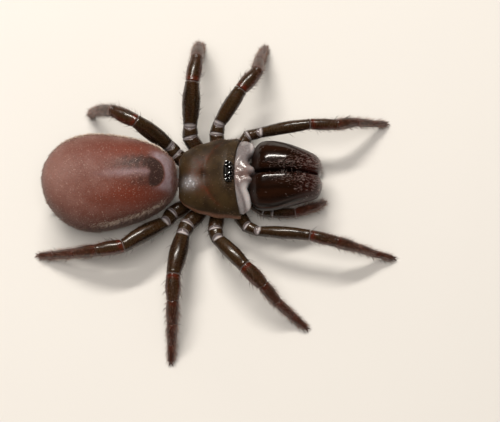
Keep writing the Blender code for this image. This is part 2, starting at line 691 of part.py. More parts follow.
def build_chelicera(side, materials):
    """One chelicera: a long dome with its crest near the midline and a sloping outer flank."""
    sign = 1 if side == "left" else -1
    back = 0.0 if side == "left" else RIGHT_CHELICERA_SET_BACK
    rings = []
    for k in range(CHELICERA_STEPS + 1):
        t = 0.5 - 0.5 * cos(pi * k / CHELICERA_STEPS)
        sizes = chelicera_sizes(t)
        x = CHELICERA_BASE - back * (1.0 - t) + (CHELICERA_TIP - CHELICERA_BASE) * t
        ring = []
        for i in range(CHELICERA_SIDES):
            out, up = chelicera_section(2.0 * pi * i / CHELICERA_SIDES, *sizes)
            ring.append((x, CHELICERA_AXIS + sign * out, up))
        rings.append(ring)
    return body_from_rings(f"chelicera_{side}", np.array(rings), materials["chelicera"])


def build_fang(side, materials):
    """One fang: it leaves the end of the chelicera downwards and folds back along its underside."""
    sign = 1 if side == "left" else -1
    centres, normals, radii = [], [], []
    for i in range(FANG_STEPS + 1):
        t = i / FANG_STEPS
        x = FANG_ROOT_X - FANG_LENGTH * t
        z = FANG_Z - FANG_DIP * sin(pi * min(t * FANG_DIP_SHARE, 1.0)) + FANG_TIP_RISE * t
        y = CHELICERA_AXIS + sign * (FANG_OUT - FANG_TURN_IN * t)
        centres.append(np.array((x, y, z)))
        radii.append(FANG_RADIUS * (1.0 - FANG_TAPER * t ** 1.6))
    for a, b in zip(centres[:-1], centres[1:]):
        normals.append(unit(b - a))
    normals.append(normals[-1])
    rings = swept_rings(centres, normals, radii, FANG_SIDES)
    return body_from_rings(f"fang_{side}", rings, materials["fang"])


def build_sternum(materials):
    """The breast plate between the coxae, with the lip fused to its front."""
    middle, half_height = (STERNUM_TOP + STERNUM_BOTTOM) / 2, (STERNUM_TOP - STERNUM_BOTTOM) / 2
    rings = []
    for k in range(STERNUM_STEPS + 1):
        t = k / STERNUM_STEPS
        swell = 0.5 + 0.5 * sin(pi / 2 * min(t / STERNUM_WIDEST, 1.0))
        lip = max(t - STERNUM_LIP_START, 0.0) / (1.0 - STERNUM_LIP_START)
        share = STERNUM_REAR_SHARE if k == 0 else swell * (1.0 - STERNUM_LIP_TAPER * lip)
        outline = oval_section(STERNUM_SIDES, STERNUM_HALF_WIDTH * share, half_height, 3.0)
        x = STERNUM_REAR + (STERNUM_FRONT - STERNUM_REAR) * t
        rings.append([(x, across, middle + up) for across, up in outline])
    body_from_rings("sternum", np.array(rings), materials["limb"])


def build_waist(materials):
    """The short stalk between the carapace and the abdomen."""
    centres = [np.array((x, 0.0, WAIST_HEIGHT)) for x in WAIST_PLACES]
    radii = [WAIST_RADIUS * width for width in WAIST_WIDTHS]
    normals = [np.array((-1.0, 0.0, 0.0))] * len(centres)
    body_from_rings("waist", swept_rings(centres, normals, radii, WAIST_SIDES), materials["fold"])


def centre_model():
    """Moves every mesh so that the middle of the bounding box is at the origin, on the floor."""
    bodies = [thing for thing in bpy.context.scene.objects if thing.type == "MESH"]
    corners = np.array([tuple(vertex.co) for body in bodies for vertex in body.data.vertices])
    low, high = corners.min(axis=0), corners.max(axis=0)
    shift = Vector((-(low[0] + high[0]) / 2, -(low[1] + high[1]) / 2, -low[2]))
    for body in bodies:
        for vertex in body.data.vertices:
            vertex.co += shift


def main():
    """Builds every piece of the spider."""
    clear_scene()
    materials = {
        "abdomen": finish("abdomen skin", (0.155, 0.055, 0.048), 0.55),
        "carapace": finish("carapace plate", (0.038, 0.024, 0.012), 0.22),
        "limb": finish("limb plate", (0.035, 0.022, 0.012), 0.25),
        "foot": finish("foot", (0.07, 0.026, 0.014), 0.4),
        "claw": finish("claw", (0.02, 0.01, 0.006), 0.2),
        "eye": finish("eye", (0.004, 0.004, 0.005), 0.05),
        "fold": finish("folded skin", (0.42, 0.34, 0.33), 0.35),
        "chelicera": finish("chelicera", (0.012, 0.006, 0.004), 0.15),
        "fang": finish("fang", (0.01, 0.004, 0.003), 0.12),
        "spinneret": finish("spinneret", (0.12, 0.05, 0.04), 0.5),
    }
    build_abdomen(materials)
    build_spinnerets(materials)
    build_carapace(materials)
    build_eyes(materials)
    build_front_fold(materials)
    build_sternum(materials)
    build_waist(materials)
    for side in ("left", "right"):
        build_chelicera(side, materials)
        build_fang(side, materials)
        build_palp(side, materials)
    for pose in POSES:
        build_leg(pose, materials)
    centre_model()


main()
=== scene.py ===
"""Looks of the purseweb spider: skins, plates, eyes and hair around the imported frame, with studio and camera.

Lengths are in millimetres in the spider's own frame: +X runs from the abdomen to the head, +Y to its left,
+Z up, the floor is z = 0 and the waist is at x = 0. A piece's mesh is turned into metres in the row frame
as it is made.
"""
import logging
from dataclasses import dataclass, field
from enum import Enum

import bpy
import numpy as np
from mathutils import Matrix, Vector


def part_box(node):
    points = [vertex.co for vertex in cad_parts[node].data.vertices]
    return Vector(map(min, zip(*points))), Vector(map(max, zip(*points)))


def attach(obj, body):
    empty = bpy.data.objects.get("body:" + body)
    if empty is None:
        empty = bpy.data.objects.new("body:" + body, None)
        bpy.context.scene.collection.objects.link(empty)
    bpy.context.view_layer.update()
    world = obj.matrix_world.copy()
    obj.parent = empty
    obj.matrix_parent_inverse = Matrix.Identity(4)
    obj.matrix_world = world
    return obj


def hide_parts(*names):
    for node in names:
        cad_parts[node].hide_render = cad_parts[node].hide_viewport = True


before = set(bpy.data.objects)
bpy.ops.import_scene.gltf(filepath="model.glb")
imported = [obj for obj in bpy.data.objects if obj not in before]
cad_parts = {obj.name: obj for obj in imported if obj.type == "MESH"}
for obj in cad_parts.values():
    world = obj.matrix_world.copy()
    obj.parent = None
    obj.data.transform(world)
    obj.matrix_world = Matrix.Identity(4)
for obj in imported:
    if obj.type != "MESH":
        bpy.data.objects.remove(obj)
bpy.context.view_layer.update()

Array = np.ndarray
Socket = bpy.types.NodeSocket
Colour = tuple[float, float, float, float]
Pair = tuple[float, float]
Triple = tuple[float, float, float]
Row = tuple[float, ...]
Random = np.random.Generator
Material = bpy.types.Material
Piece = bpy.types.Object

# Metres in a millimetre, and the size of the photograph in pixels.
MM = 0.001
PHOTO_WIDTH = 500
PHOTO_HEIGHT = 422
BAKE_MAP = "OFBake"
# Where the sternum's rear end lies in the spider's own frame.
STERNUM_REAR = 1.0
TURN = 2.0 * np.pi
UP = np.array((0.0, 0.0, 1.0))
# Sines in a ripple, and the height that they are scaled down from.
RIPPLE_WAVES = 9
RIPPLE_CREST = 1.2

log = logging.getLogger("spider")


class Side(Enum):
    """The two sides of the body, with the sign of y on each."""

    LEFT = 1
    RIGHT = -1

    @property
    def word(self) -> str:
        """The side's name as the CAD nodes write it."""
        return self.name.lower()

    @property
    def mirror(self) -> Array:
        """What a place on the left is multiplied by to give its twin on this side."""
        return np.array((1.0, self.value, 1.0))


def frame_origin() -> Array:
    """Place of the spider's own zero in the row frame, in millimetres, found from the sternum's box."""
    low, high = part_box("sternum")
    return np.array((low.x / MM - STERNUM_REAR, (low.y + high.y) / 2.0 / MM, 0.0))


ORIGIN = frame_origin()


def unit(vectors: Array) -> Array:
    """The vectors scaled to length one."""
    length = np.linalg.norm(vectors, axis=-1, keepdims=True)
    return vectors / np.maximum(length, 1e-9)


def past(value: Array, start: float, end: float = 1.0) -> Array:
    """Share of the way from start to end, held at 0 before it and at 1 behind it."""
    return np.clip((value - start) / (end - start), 0.0, 1.0)


def smooth(low: float, high: float, value: Array) -> Array:
    """Soft step: 0 below low, 1 above high, 3 x^2 - 2 x^3 between."""
    share = past(value, low, high)
    return share * share * (3.0 - 2.0 * share)


def swell(share: Array, power: float = 2.0) -> Array:
    """Rise from 0 to 1 that slows down on its way: 1 - (1 - x)^power, with x held between 0 and 1."""
    return 1.0 - (1.0 - np.clip(share, 0.0, 1.0)) ** power


def hump(value: Array, centre: float, width: float) -> Array:
    """Bell of height one around a centre: exp of minus the squared distance over the width."""
    return np.exp(-(((value - centre) / width) ** 2))


def cosine_steps(count: int) -> Array:
    """Shares from 0 to 1 that lie closer together near both ends: half of one minus the cosine."""
    return 0.5 - 0.5 * np.cos(np.linspace(0.0, np.pi, count))


def ring_angles(count: int) -> Array:
    """Angles of evenly spaced points round a ring: 0 at the side and a quarter turn at the top."""
    return np.linspace(0.0, TURN, count, endpoint=False)


def power_cosine(angles: Array, power: float) -> Array:
    """Signed coordinate of a superellipse: |cos|^(2 / power) with the cosine's sign."""
    value = np.cos(angles)
    return np.abs(value) ** (2.0 / power) * np.sign(value)


def power_sine(angles: Array, power: float) -> Array:
    """The superellipse's other coordinate: the same a quarter turn on."""
    return power_cosine(angles - np.pi / 2.0, power)


def places(x: Array | float, y: Array | float, z: Array | float) -> Array:
    """Places from their three coordinates, which are spread over one grid."""
    return np.stack(np.broadcast_arrays(x, y, z), axis=-1)


def ripple(points: Array, pitch: float, seed: int) -> Array:
    """An uneven field between about -1 and 1: the mean of sines along seeded directions.

    Args:
        points: places in millimetres, with the coordinates in the last axis.
        pitch: rough distance between two crests, in millimetres.
        seed: number that fixes the directions and phases.

    Returns:
        One value for each place.
    """
    rng = np.random.default_rng(seed)
    total = np.zeros(points.shape[:-1])
    for _ in range(RIPPLE_WAVES):
        way = unit(rng.normal(size=3)) * rng.uniform(0.7, 1.5)
        total += np.sin(points @ way * (TURN / pitch) + rng.uniform(0.0, TURN))
    return total / RIPPLE_WAVES ** 0.5 / RIPPLE_CREST


def linear(red: int, green: int, blue: int) -> Colour:
    """Scene-linear colour of an 8-bit screen colour."""
    values = [channel / 255.0 for channel in (red, green, blue)]
    return (*[v / 12.92 if v <= 0.04045 else ((v + 0.055) / 1.055) ** 2.4 for v in values], 1.0)


def mesh_object(name: str, points: Array, faces: list[Array], material: Material,
                marks: dict[str, Array] | None = None) -> Piece:
    """Makes a mesh object from arrays.

    Args:
        name: name of the piece.
        points: (points, 3) places in millimetres in the spider's own frame.
        faces: arrays of (faces, corners) point numbers, one array for each count of corners.
        material: finish of the whole piece.
        marks: values for each point, kept as attributes under their names.

    Returns:
        The object, linked to the scene, with its place in its mesh.
    """
    mesh = bpy.data.meshes.new(name)
    corners = np.concatenate([part.ravel() for part in faces]).astype(np.int32)
    counts = np.concatenate([np.full(len(part), part.shape[1]) for part in faces])
    starts = np.concatenate(([0], np.cumsum(counts)[:-1])).astype(np.int32)
    mesh.vertices.add(len(points))
    mesh.vertices.foreach_set("co", ((points + ORIGIN) * MM).astype(np.float32).ravel())
    mesh.loops.add(len(corners))
    mesh.loops.foreach_set("vertex_index", corners)
    mesh.polygons.add(len(starts))
    mesh.polygons.foreach_set("loop_start", starts)
    mesh.update(calc_edges=True)
    mesh.shade_smooth()
    for title, values in (marks or {}).items():
        kind, key = ("FLOAT_VECTOR", "vector") if values.ndim == 2 else ("FLOAT", "value")
        attribute = mesh.attributes.new(title, kind, "POINT")
        attribute.data.foreach_set(key, values.astype(np.float32).ravel())
    mesh.materials.append(material)
    piece = bpy.data.objects.new(name, mesh)
    bpy.context.scene.collection.objects.link(piece)
    return piece


def deliver(piece: Piece, slot: str, *nodes: str) -> Piece:
    """Sets a piece on the root body and hides the CAD nodes that it stands for.

    Args:
        piece: the finished piece.
        slot: slot of the record that it takes its finish from; not used.
        *nodes: CAD nodes that it replaces.

    Returns:
        The same piece.
    """
    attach(piece, "root")
    if nodes:
        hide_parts(*nodes)
    log.info("%s: %d points, %d faces", piece.name, len(piece.data.vertices), len(piece.data.polygons))
    return piece


class Cap(Enum):
    """How the two ends of a skin are closed."""

    FAN = "faces that meet at a point in the middle"
    STRIP = "strips from each point of the upper half to its partner in the lower half"


@dataclass
class Skin:
    """A closed surface as a grid: rows of points along it, columns around it, and a cap at each end.

    points has the shape (rows, columns, 3). marks holds values under their names: one number for all points,
    or an array that is spread over the grid.
    """

    points: Array
    marks: dict[str, Array | float] = field(default_factory=dict)
    cap: Cap = Cap.FAN

    def __post_init__(self) -> None:
        """Spreads the marks over the grid, and turns its columns round where faces would point inwards."""
        shape = self.points.shape[:2]
        self.marks = {title: values if np.ndim(values) == 3 else np.broadcast_to(values, shape)
                      for title, values in self.marks.items()}
        if self.volume() < 0.0:
            self.points = np.roll(self.points[:, ::-1], 1, axis=1)
            self.marks = {title: np.roll(values[:, ::-1], 1, axis=1) for title, values in self.marks.items()}

    def corners(self) -> tuple[Array, Array]:
        """Point numbers of the faces.

        Returns:
            Those of the four-sided faces, and those of the three-sided ones at the caps.
        """
        rows, columns = self.points.shape[:2]
        number = np.arange(rows * columns).reshape(rows, columns)
        beside = np.roll(number, -1, axis=1)
        quads = np.stack((number[:-1], beside[:-1], beside[1:], number[1:]), axis=-1).reshape(-1, 4)
        if self.cap is Cap.STRIP:
            upper = np.arange(1, columns // 2 - 1)
            cross = np.stack((upper, upper + 1, columns - upper - 1, columns - upper), axis=-1)
            edge = np.array(((0, 1, columns - 1), (columns // 2 - 1, columns // 2, columns // 2 + 1)))
            quads = np.concatenate((quads, number[0][cross][:, ::-1], number[-1][cross]))
            return quads, np.concatenate((number[0][edge][:, ::-1], number[-1][edge]))
        near, far = rows * columns, rows * columns + 1
        first = np.stack((beside[0], number[0], np.full(columns, near)), axis=-1)
        last = np.stack((number[-1], beside[-1], np.full(columns, far)), axis=-1)
        return quads, np.concatenate((first, last))

    def with_caps(self, values: Array) -> Array:
        """The grid's values one after another, then those at the middles of fan caps.

        Args:
            values: grid of values, with any further axes last.

        Returns:
            One value, or row of values, for each point of the mesh.
        """
        flat = values.reshape(-1, *values.shape[2:])
        if self.cap is Cap.STRIP:
            return flat
        return np.concatenate((flat, values[[0, -1]].mean(axis=1)))

    def volume(self) -> float:
        """Signed volume inside the surface: a sixth of the sum of triple products over its triangles.

        Returns:
            Cubic millimetres, below zero where the faces point inwards.
        """
        quads, ends = self.corners()
        triangles = np.concatenate((quads[:, [0, 1, 2]], quads[:, [0, 2, 3]], ends))
        a, b, c = (self.with_caps(self.points)[triangles[:, i]] for i in range(3))
        return float(np.einsum("ij,ij->", a, np.cross(b, c)) / 6.0)

    def spans(self) -> Array:
        """Outward area at each grid point: the cross product of the steps around and along the grid."""
        around = (np.roll(self.points, -1, axis=1) - np.roll(self.points, 1, axis=1)) / 2.0
        return np.cross(around, np.gradient(self.points, axis=0))

    def normals(self) -> Array:
        """Outward directions at the grid points."""
        return unit(self.spans())

    def areas(self) -> Array:
        """Area that each grid point stands for."""
        return np.linalg.norm(self.spans(), axis=-1)

    def read(self, values: Array, rows: Array, columns: Array) -> Array:
        """Values at places between grid points, blended from the four around each.

        Args:
            values: grid of values, with any further axes last.
            rows: row of each place, as a real number.
            columns: column of each place, as a real number, which wraps round.

        Returns:
            One value, or row of values, for each place.
        """
        count_rows, count_columns = self.points.shape[:2]
        row = np.clip(np.floor(rows).astype(int), 0, count_rows - 2)
        column = np.floor(columns).astype(int)
        down, side = rows - row, columns - column
        if values.ndim == 3:
            down, side = down[:, None], side[:, None]
        left, right = column % count_columns, (column + 1) % count_columns
        near = values[row, left] * (1 - side) + values[row, right] * side
        far = values[row + 1, left] * (1 - side) + values[row + 1, right] * side
        return near * (1 - down) + far * down

    def scatter(self, density: Array, count: int, rng: Random) -> tuple[Array, Array]:
        """Random places on the skin, denser where density is higher.

        Args:
            density: grid of relative counts for each area.
            count: how many places to draw.
            rng: source of the draw.

        Returns:
            The places' rows and columns, as real numbers.
        """
        weight = (density * self.areas()).ravel()
        spots = rng.choice(len(weight), size=count, p=weight / weight.sum())
        rows, columns = np.divmod(spots, self.points.shape[1])
        return (np.clip(rows + rng.uniform(-0.5, 0.5, count), 0.0, self.points.shape[0] - 1.001),
                columns + rng.uniform(-0.5, 0.5, count))

    def dress(self, name: str, material: Material) -> Piece:
        """Makes the skin's mesh object in a finish."""
        marks = {title: self.with_caps(values) for title, values in self.marks.items()}
        return mesh_object(name, self.with_caps(self.points), list(self.corners()), material, marks)


def tube_points(centres: Array, normals: Array, radii: Array, sides: int, deepen: float = 1.05) -> Array:
    """Rings round a path, each upright and square to its normal: centre + r (cos a side + deepen sin a up).

    Args:
        centres: (rows, 3) path.
        normals: (rows, 3) directions of the rings' axes, or one direction for all.
        radii: (rows,) or (rows, sides) half-thicknesses.
        sides: points of each ring.
        deepen: height of the rings over their width.

    Returns:
        (rows, sides, 3) points. Column a / 2 pi starts at the side and passes over the top at a quarter.
    """
    normals = np.broadcast_to(normals, centres.shape)
    sideways = unit(np.cross(UP, normals))
    upward = np.cross(normals, sideways)
    angles = ring_angles(sides)
    if radii.ndim == 1:
        radii = radii[:, None]
    across = (radii * np.cos(angles))[..., None] * sideways[:, None]
    rise = (radii * deepen * np.sin(angles))[..., None] * upward[:, None]
    return centres[:, None] + across + rise


@dataclass(frozen=True)
class HairStyle:
    """How the hairs of one coat grow: sizes in millimetres, angles in degrees."""

    length: float
    thickness: float
    lift: float
    uneven: float = 0.35
    stray: float = 14.0
    curve: float = 0.5


# A hair has three points at its root, three at its waist and one at its tip.
HAIR_POINTS = 7
HAIR_SINK = 0.02
HAIR_WAIST = 0.7
HAIR_HEIGHTS = np.array((0.0, 0.0, 0.0, 0.5, 0.5, 0.5, 1.0))
HAIR_SIDES = np.array((-1.0, 0.0, 1.0, -HAIR_WAIST, 0.0, HAIR_WAIST, 0.0))
HAIR_FACES = np.array([(0, 2, 1)] + [(j, (j + 1) % 3, 3 + (j + 1) % 3) for j in range(3)]
                      + [(j, 3 + (j + 1) % 3, 3 + j) for j in range(3)]
                      + [(3 + j, 3 + (j + 1) % 3, 6) for j in range(3)])
# On the bake map each hair takes a square of this side, and nothing lies closer to the map's edge than this.
HAIR_PATCH = 0.003
MAP_EDGE = 0.01


def grow_hairs(name: str, skin: Skin, rows: Array, columns: Array, style: HairStyle,
               material: Material, rng: Random,
               ways: Array | None = None, lengths: Array | None = None) -> Piece:
    """Grows one joined mesh of thin tapered hairs: each is a bent three-sided spike on its root.

    A hair leaves the skin at the style's lift over the lie of the coat, and its outer half bends
    back towards that lie.

    Args:
        name: name of the piece.
        skin: skin that carries the hairs.
        rows: rows of the roots on the skin.
        columns: columns of the roots on the skin.
        style: sizes and angles of the hairs.
        material: finish of the hairs.
        rng: source of the random draws.
        ways: lie of the coat at each root, or None for along the skin's rows.
        lengths: length share of each hair, or None for all alike.

    Returns:
        The coat as one object with an OFBake map that lays each hair at its root's place.
    """
    count = len(rows)
    spots = skin.read(skin.points, rows, columns)
    normals = unit(skin.read(skin.normals(), rows, columns))
    if ways is None:
        ways = skin.read(np.gradient(skin.points, axis=0), rows, columns)
    ways = unit(ways - np.einsum("ij,ij->i", ways, normals)[:, None] * normals)
    lift = np.radians(style.lift + rng.normal(0.0, style.stray, count))[:, None]
    sides = np.cross(normals, ways)
    turn = np.radians(rng.normal(0.0, style.stray, count))[:, None]
    lie = ways * np.cos(turn) + sides * np.sin(turn)
    lean = unit(lie * np.cos(lift) + normals * np.abs(np.sin(lift)))
    length = style.length * (1.0 - style.uneven * rng.uniform(0.0, 1.0, count))
    if lengths is not None:
        length = length * lengths
    half = length[:, None] / 2.0
    root = spots - normals * HAIR_SINK
    middle = root + lean * half
    tip = middle + unit(lean + lie * style.curve) * half
    first = unit(np.cross(lean, normals + 0.01))
    second = np.cross(lean, first)
    angles = ring_angles(3)
    ring = first[:, None] * np.cos(angles)[:, None] + second[:, None] * np.sin(angles)[:, None]
    thick = style.thickness / 2.0 * np.clip(length / style.length, 0.4, 1.2)[:, None, None]
    points = np.concatenate((root[:, None] + ring * thick, middle[:, None] + ring * thick * HAIR_WAIST,
                             tip[:, None]), axis=1)
    points[..., 2] = np.maximum(points[..., 2], 0.0)
    faces = (HAIR_FACES[None] + np.arange(count)[:, None, None] * HAIR_POINTS).reshape(-1, 3)
    marks = {"tone": np.repeat(rng.uniform(0.0, 1.0, count), HAIR_POINTS),
             "height": np.tile(HAIR_HEIGHTS, count)}
    coat = mesh_object(name, points.reshape(-1, 3), [faces], material, marks)
    share = np.stack(((columns / skin.points.shape[1]) % 1.0, rows / skin.points.shape[0]), axis=-1)
    spread = np.stack((HAIR_SIDES, 2.0 * HAIR_HEIGHTS - 1.0), axis=-1) * (HAIR_PATCH / 2.0)
    flat = (MAP_EDGE + (1.0 - 2.0 * MAP_EDGE) * share[:, None] + spread).reshape(-1, 2)
    layer = coat.data.uv_layers.new(name=BAKE_MAP)
    layer.data.foreach_set("uv", flat[faces.ravel()].astype(np.float32).ravel())
    return coat


class Graph:
    """The node tree of one material, with a short call for each kind of node that the finishes use.

    place holds the object's own coordinates in millimetres, which a pattern reads unless it is given others.
    """

    def __init__(self, name: str, **settings: object) -> None:
        """Starts a Principled material and its coordinates.

        Args:
            name: name of the material.
            **settings: values of the shader's own sockets, with underscores for the spaces in their names.
        """
        self.material = bpy.data.materials.new(name)
        self.material.use_nodes = True
        self.tree = self.material.node_tree
        self.shader = self.tree.nodes["Principled BSDF"]
        for title, value in settings.items():
            self.shader.inputs[title.replace("_", " ")].default_value = value
        own = self.node("TexCoord", {}).outputs["Object"]
        self.place = self.stretched(own, (1.0 / MM, 1.0 / MM, 1.0 / MM))

    def put(self, socket: Socket, value: object) -> None:
        """Links a socket to an output, or sets its own value.

        Args:
            socket: the input to set.
            value: an output of another node, or a plain value.
        """
        if isinstance(value, Socket):
            self.tree.links.new(value, socket)
        else:
            socket.default_value = value

    def node(self, kind: str, inputs: dict[str | int, object], **settings: object) -> bpy.types.Node:
        """Adds one node.

        Args:
            kind: the node's type, without the ShaderNode that all of them begin with.
            inputs: outputs or values for its inputs, under their names or numbers.
            **settings: the node's own settings.

        Returns:
            The node.
        """
        node = self.tree.nodes.new("ShaderNode" + kind)
        for title, value in settings.items():
            setattr(node, title, value)
        for title, value in inputs.items():
            self.put(node.inputs[title], value)
        return node

    def attribute(self, title: str, output: str = "Fac") -> Socket:
        """The value of one of the mesh's own marks."""
        return self.node("Attribute", {}, attribute_name=title).outputs[output]

    def stretched(self, vector: Socket, stretch: Triple) -> Socket:
        """A vector with each of its axes stretched."""
        return self.node("Mapping", {"Vector": vector, "Scale": stretch}).outputs["Vector"]

    def noise(self, scale: float, detail: float = 3.0, rough: float = 0.5,
              vector: Socket | None = None) -> Socket:
        """Noise with a count of features for each unit of the vector, which is place unless given."""
        inputs = {"Vector": self.place if vector is None else vector, "Scale": scale, "Detail": detail}
        return self.node("TexNoise", inputs | {"Roughness": rough}).outputs["Fac"]

    def cells(self, scale: float) -> Socket:
        """Distance to the nearest of many scattered points."""
        return self.node("TexVoronoi", {"Vector": self.place, "Scale": scale}).outputs["Distance"]

    def step(self, value: Socket, low: float, high: float, start: float = 0.0, end: float = 1.0) -> Socket:
        """Soft step of a value from start at low to end at high."""
        inputs = {"Value": value, "From Min": low, "From Max": high, "To Min": start, "To Max": end}
        return self.node("MapRange", inputs, interpolation_type="SMOOTHSTEP").outputs["Result"]

    def cloud(self, scale: float, low: float, high: float, start: float = 0.0, end: float = 1.0,
              detail: float = 3.0, rough: float = 0.5, vector: Socket | None = None) -> Socket:
        """Noise as a soft step: start where it is under low, end where it is over high."""
        return self.step(self.noise(scale, detail, rough, vector), low, high, start, end)

    def math(self, operation: str, first: object, second: object) -> Socket:
        """Sum, difference or other arithmetic of two values."""
        return self.node("Math", {0: first, 1: second}, operation=operation).outputs[0]

    def times(self, first: object, second: object) -> Socket:
        """Product of two values."""
        return self.math("MULTIPLY", first, second)

    def mix(self, share: object, first: object, second: object) -> Socket:
        """Colour between two colours, which are inputs 6 and 7 of a Mix node, as its output 2 gives it."""
        return self.node("Mix", {0: share, 6: first, 7: second}, data_type="RGBA").outputs[2]

    def paint(self, colour: Socket, **paints: Colour) -> Socket:
        """Paints over a colour, once for each mark.

        Args:
            colour: the colour underneath.
            **paints: the colour that goes where the mesh's mark of that name is high, in this order.

        Returns:
            The painted colour.
        """
        for title, paint in paints.items():
            colour = self.mix(self.attribute(title), colour, paint)
        return colour

    def bump(self, height: Socket, depth: float, under: Socket | None = None,
             strength: float = 1.0) -> Socket:
        """Relief of a given depth in millimetres, over another relief if one is given."""
        inputs = {"Height": height, "Distance": depth * MM, "Strength": strength}
        return self.node("Bump", inputs | ({} if under is None else {"Normal": under})).outputs["Normal"]

    def finish(self, colour: object, roughness: object, normal: Socket) -> Material:
        """Joins the shader to what the finish has worked out.

        Args:
            colour: base colour.
            roughness: roughness, as an output or a number.
            normal: relief.

        Returns:
            The material.
        """
        for title, value in (("Base Color", colour), ("Roughness", roughness), ("Normal", normal)):
            self.put(self.shader.inputs[title], value)
        return self.material


@dataclass(frozen=True)
class HornFinish:
    """Satin brown cuticle with pale joint skin, red joint rings and redder ends of the limbs."""

    name: str = "limb horn"
    deep: Colour = linear(30, 20, 11)
    clear: Colour = linear(56, 40, 23)
    ring: Colour = linear(82, 28, 15)
    distal: Colour = linear(62, 30, 20)
    dust: Colour = linear(116, 84, 70)
    membrane: Colour = linear(104, 95, 97)
    # Near-white of the painted highlights on the joint skin.
    gleam: Colour = linear(212, 204, 204)
    roughness: float = 0.26
    pore_depth: float = 0.01

    @staticmethod
    def marks(lie: Array, **given: Array | float) -> dict[str, Array | float]:
        """The marks that the finish reads on a skin with no pale joints: 0 for each one that isn't given."""
        return {"lie": lie, "distal": 0.0, "ring": 0.0, "membrane": 0.0} | given

    def material(self) -> Material:
        """Colour from streaks along the limb, then rings, then joint skin with painted highlights; fine pores
        as relief.

        Returns:
            The material, which reads the marks lie, distal, ring, membrane and gleam.
        """
        graph = Graph(self.name, IOR=1.46, Coat_Weight=0.25, Coat_Roughness=0.12,
                      Subsurface_Weight=0.1, Subsurface_Radius=(1.0, 0.45, 0.2), Subsurface_Scale=0.0004)
        lie = graph.stretched(graph.attribute("lie", "Vector"), (2.2, 2.2, 0.16))
        distal, skin = graph.attribute("distal"), graph.attribute("membrane")
        colour = graph.mix(graph.cloud(1.0, 0.34, 0.7, vector=lie), self.deep, self.clear)
        colour = graph.mix(graph.times(graph.cloud(1.1, 0.4, 0.75), 0.25), colour, self.distal)
        colour = graph.mix(graph.times(distal, graph.cloud(5.0, 0.3, 0.6, 0.3)), colour, self.distal)
        red = graph.times(graph.attribute("ring"), graph.cloud(4.0, 0.3, 0.6, 0.35))
        colour = graph.mix(red, colour, self.ring)
        dusty = graph.times(distal, graph.cloud(2.6, 0.48, 0.68, 0.0, 0.4, 4.0, 0.65))
        colour = graph.mix(dusty, colour, self.dust)
        # Painted highlight: the joint skin turns near-white at its edge, and on top where the gleam mark lies.
        rim = graph.times(graph.step(skin, 0.1, 0.4, 0.0, 0.6), graph.step(skin, 0.45, 0.8, 1.0, 0.0))
        pale = graph.mix(graph.cloud(5.0, 0.3, 0.7, 0.0, 0.3), self.membrane, self.clear)
        pale = graph.mix(graph.times(graph.attribute("gleam"), 0.8), pale, self.gleam)
        colour = graph.mix(skin, colour, graph.mix(rim, pale, self.gleam))
        shine = graph.cloud(9.0, 0.3, 0.75, self.roughness - 0.05, self.roughness + 0.1, 4.0)
        shine = graph.math("ADD", shine, graph.times(distal, 0.12))
        shine = graph.math("SUBTRACT", shine, graph.times(skin, 0.14))
        return graph.finish(colour, shine, graph.bump(graph.noise(20.0), self.pore_depth, strength=0.4))


@dataclass(frozen=True)
class VelvetFinish:
    """Soft abdomen skin: brown ground with mauve and brick, dark heart mark, grey front, a painted highlight
    along the back and painted shade on the underside.
    """

    name: str = "abdomen skin"
    ground: Colour = linear(106, 61, 50)
    brick: Colour = linear(112, 50, 34)
    mauve: Colour = linear(140, 104, 95)
    mark: Colour = linear(54, 37, 33)
    # Grey of the skin round the heart mark, also used for the painted highlight along the back.
    crescent: Colour = linear(152, 134, 140)
    # Painted shade on the underside and lower flanks.
    under: Colour = linear(34, 20, 16)
    pale: Colour = linear(176, 146, 134)
    sheen: Colour = linear(210, 180, 172)
    roughness: float = 0.46

    def material(self) -> Material:
        """Paints the ground by the skin's marks and covers it with fine dark grain and pale flecks.

        Returns:
            The material, which reads the marks rear, brick, crescent, mark and under.
        """
        graph = Graph(self.name, IOR=1.45, Specular_IOR_Level=0.35, Sheen_Weight=0.15, Sheen_Roughness=0.4,
                      Sheen_Tint=self.sheen, Subsurface_Weight=0.1,
                      Subsurface_Radius=(1.0, 0.4, 0.25), Subsurface_Scale=0.0004)
        colour = graph.mix(graph.cloud(0.6, 0.35, 0.7, 0.0, 0.45, 4.0, 0.6), self.ground, self.mauve)
        # The grey front mark also lays a painted highlight along the middle of the back.
        colour = graph.paint(colour, rear=self.mauve, brick=self.brick, crescent=self.crescent)
        grain = graph.noise(11.0, 4.0, 0.7)
        edge = graph.math("ADD", graph.attribute("mark"), graph.step(grain, 0.25, 0.75, -0.12, 0.08))
        # Painted shade: the under mark darkens the underside and lower flanks.
        colour = graph.paint(graph.mix(graph.step(edge, 0.0, 1.0), colour, self.mark), under=self.under)
        colour = graph.mix(graph.step(grain, 0.45, 0.72, 0.0, 0.5), colour, self.mark)
        fleck = graph.step(graph.cells(4.5), 0.04, 0.3, 0.9, 0.0)
        colour = graph.mix(graph.times(fleck, graph.cloud(1.6, 0.38, 0.62, 0.2)), colour, self.pale)
        shine = graph.step(grain, 0.3, 0.7, self.roughness - 0.1, self.roughness + 0.16)
        relief = graph.bump(graph.cells(8.0), 0.03, strength=0.5)
        return graph.finish(colour, shine, graph.bump(graph.noise(15.0), 0.025, relief, 0.6))


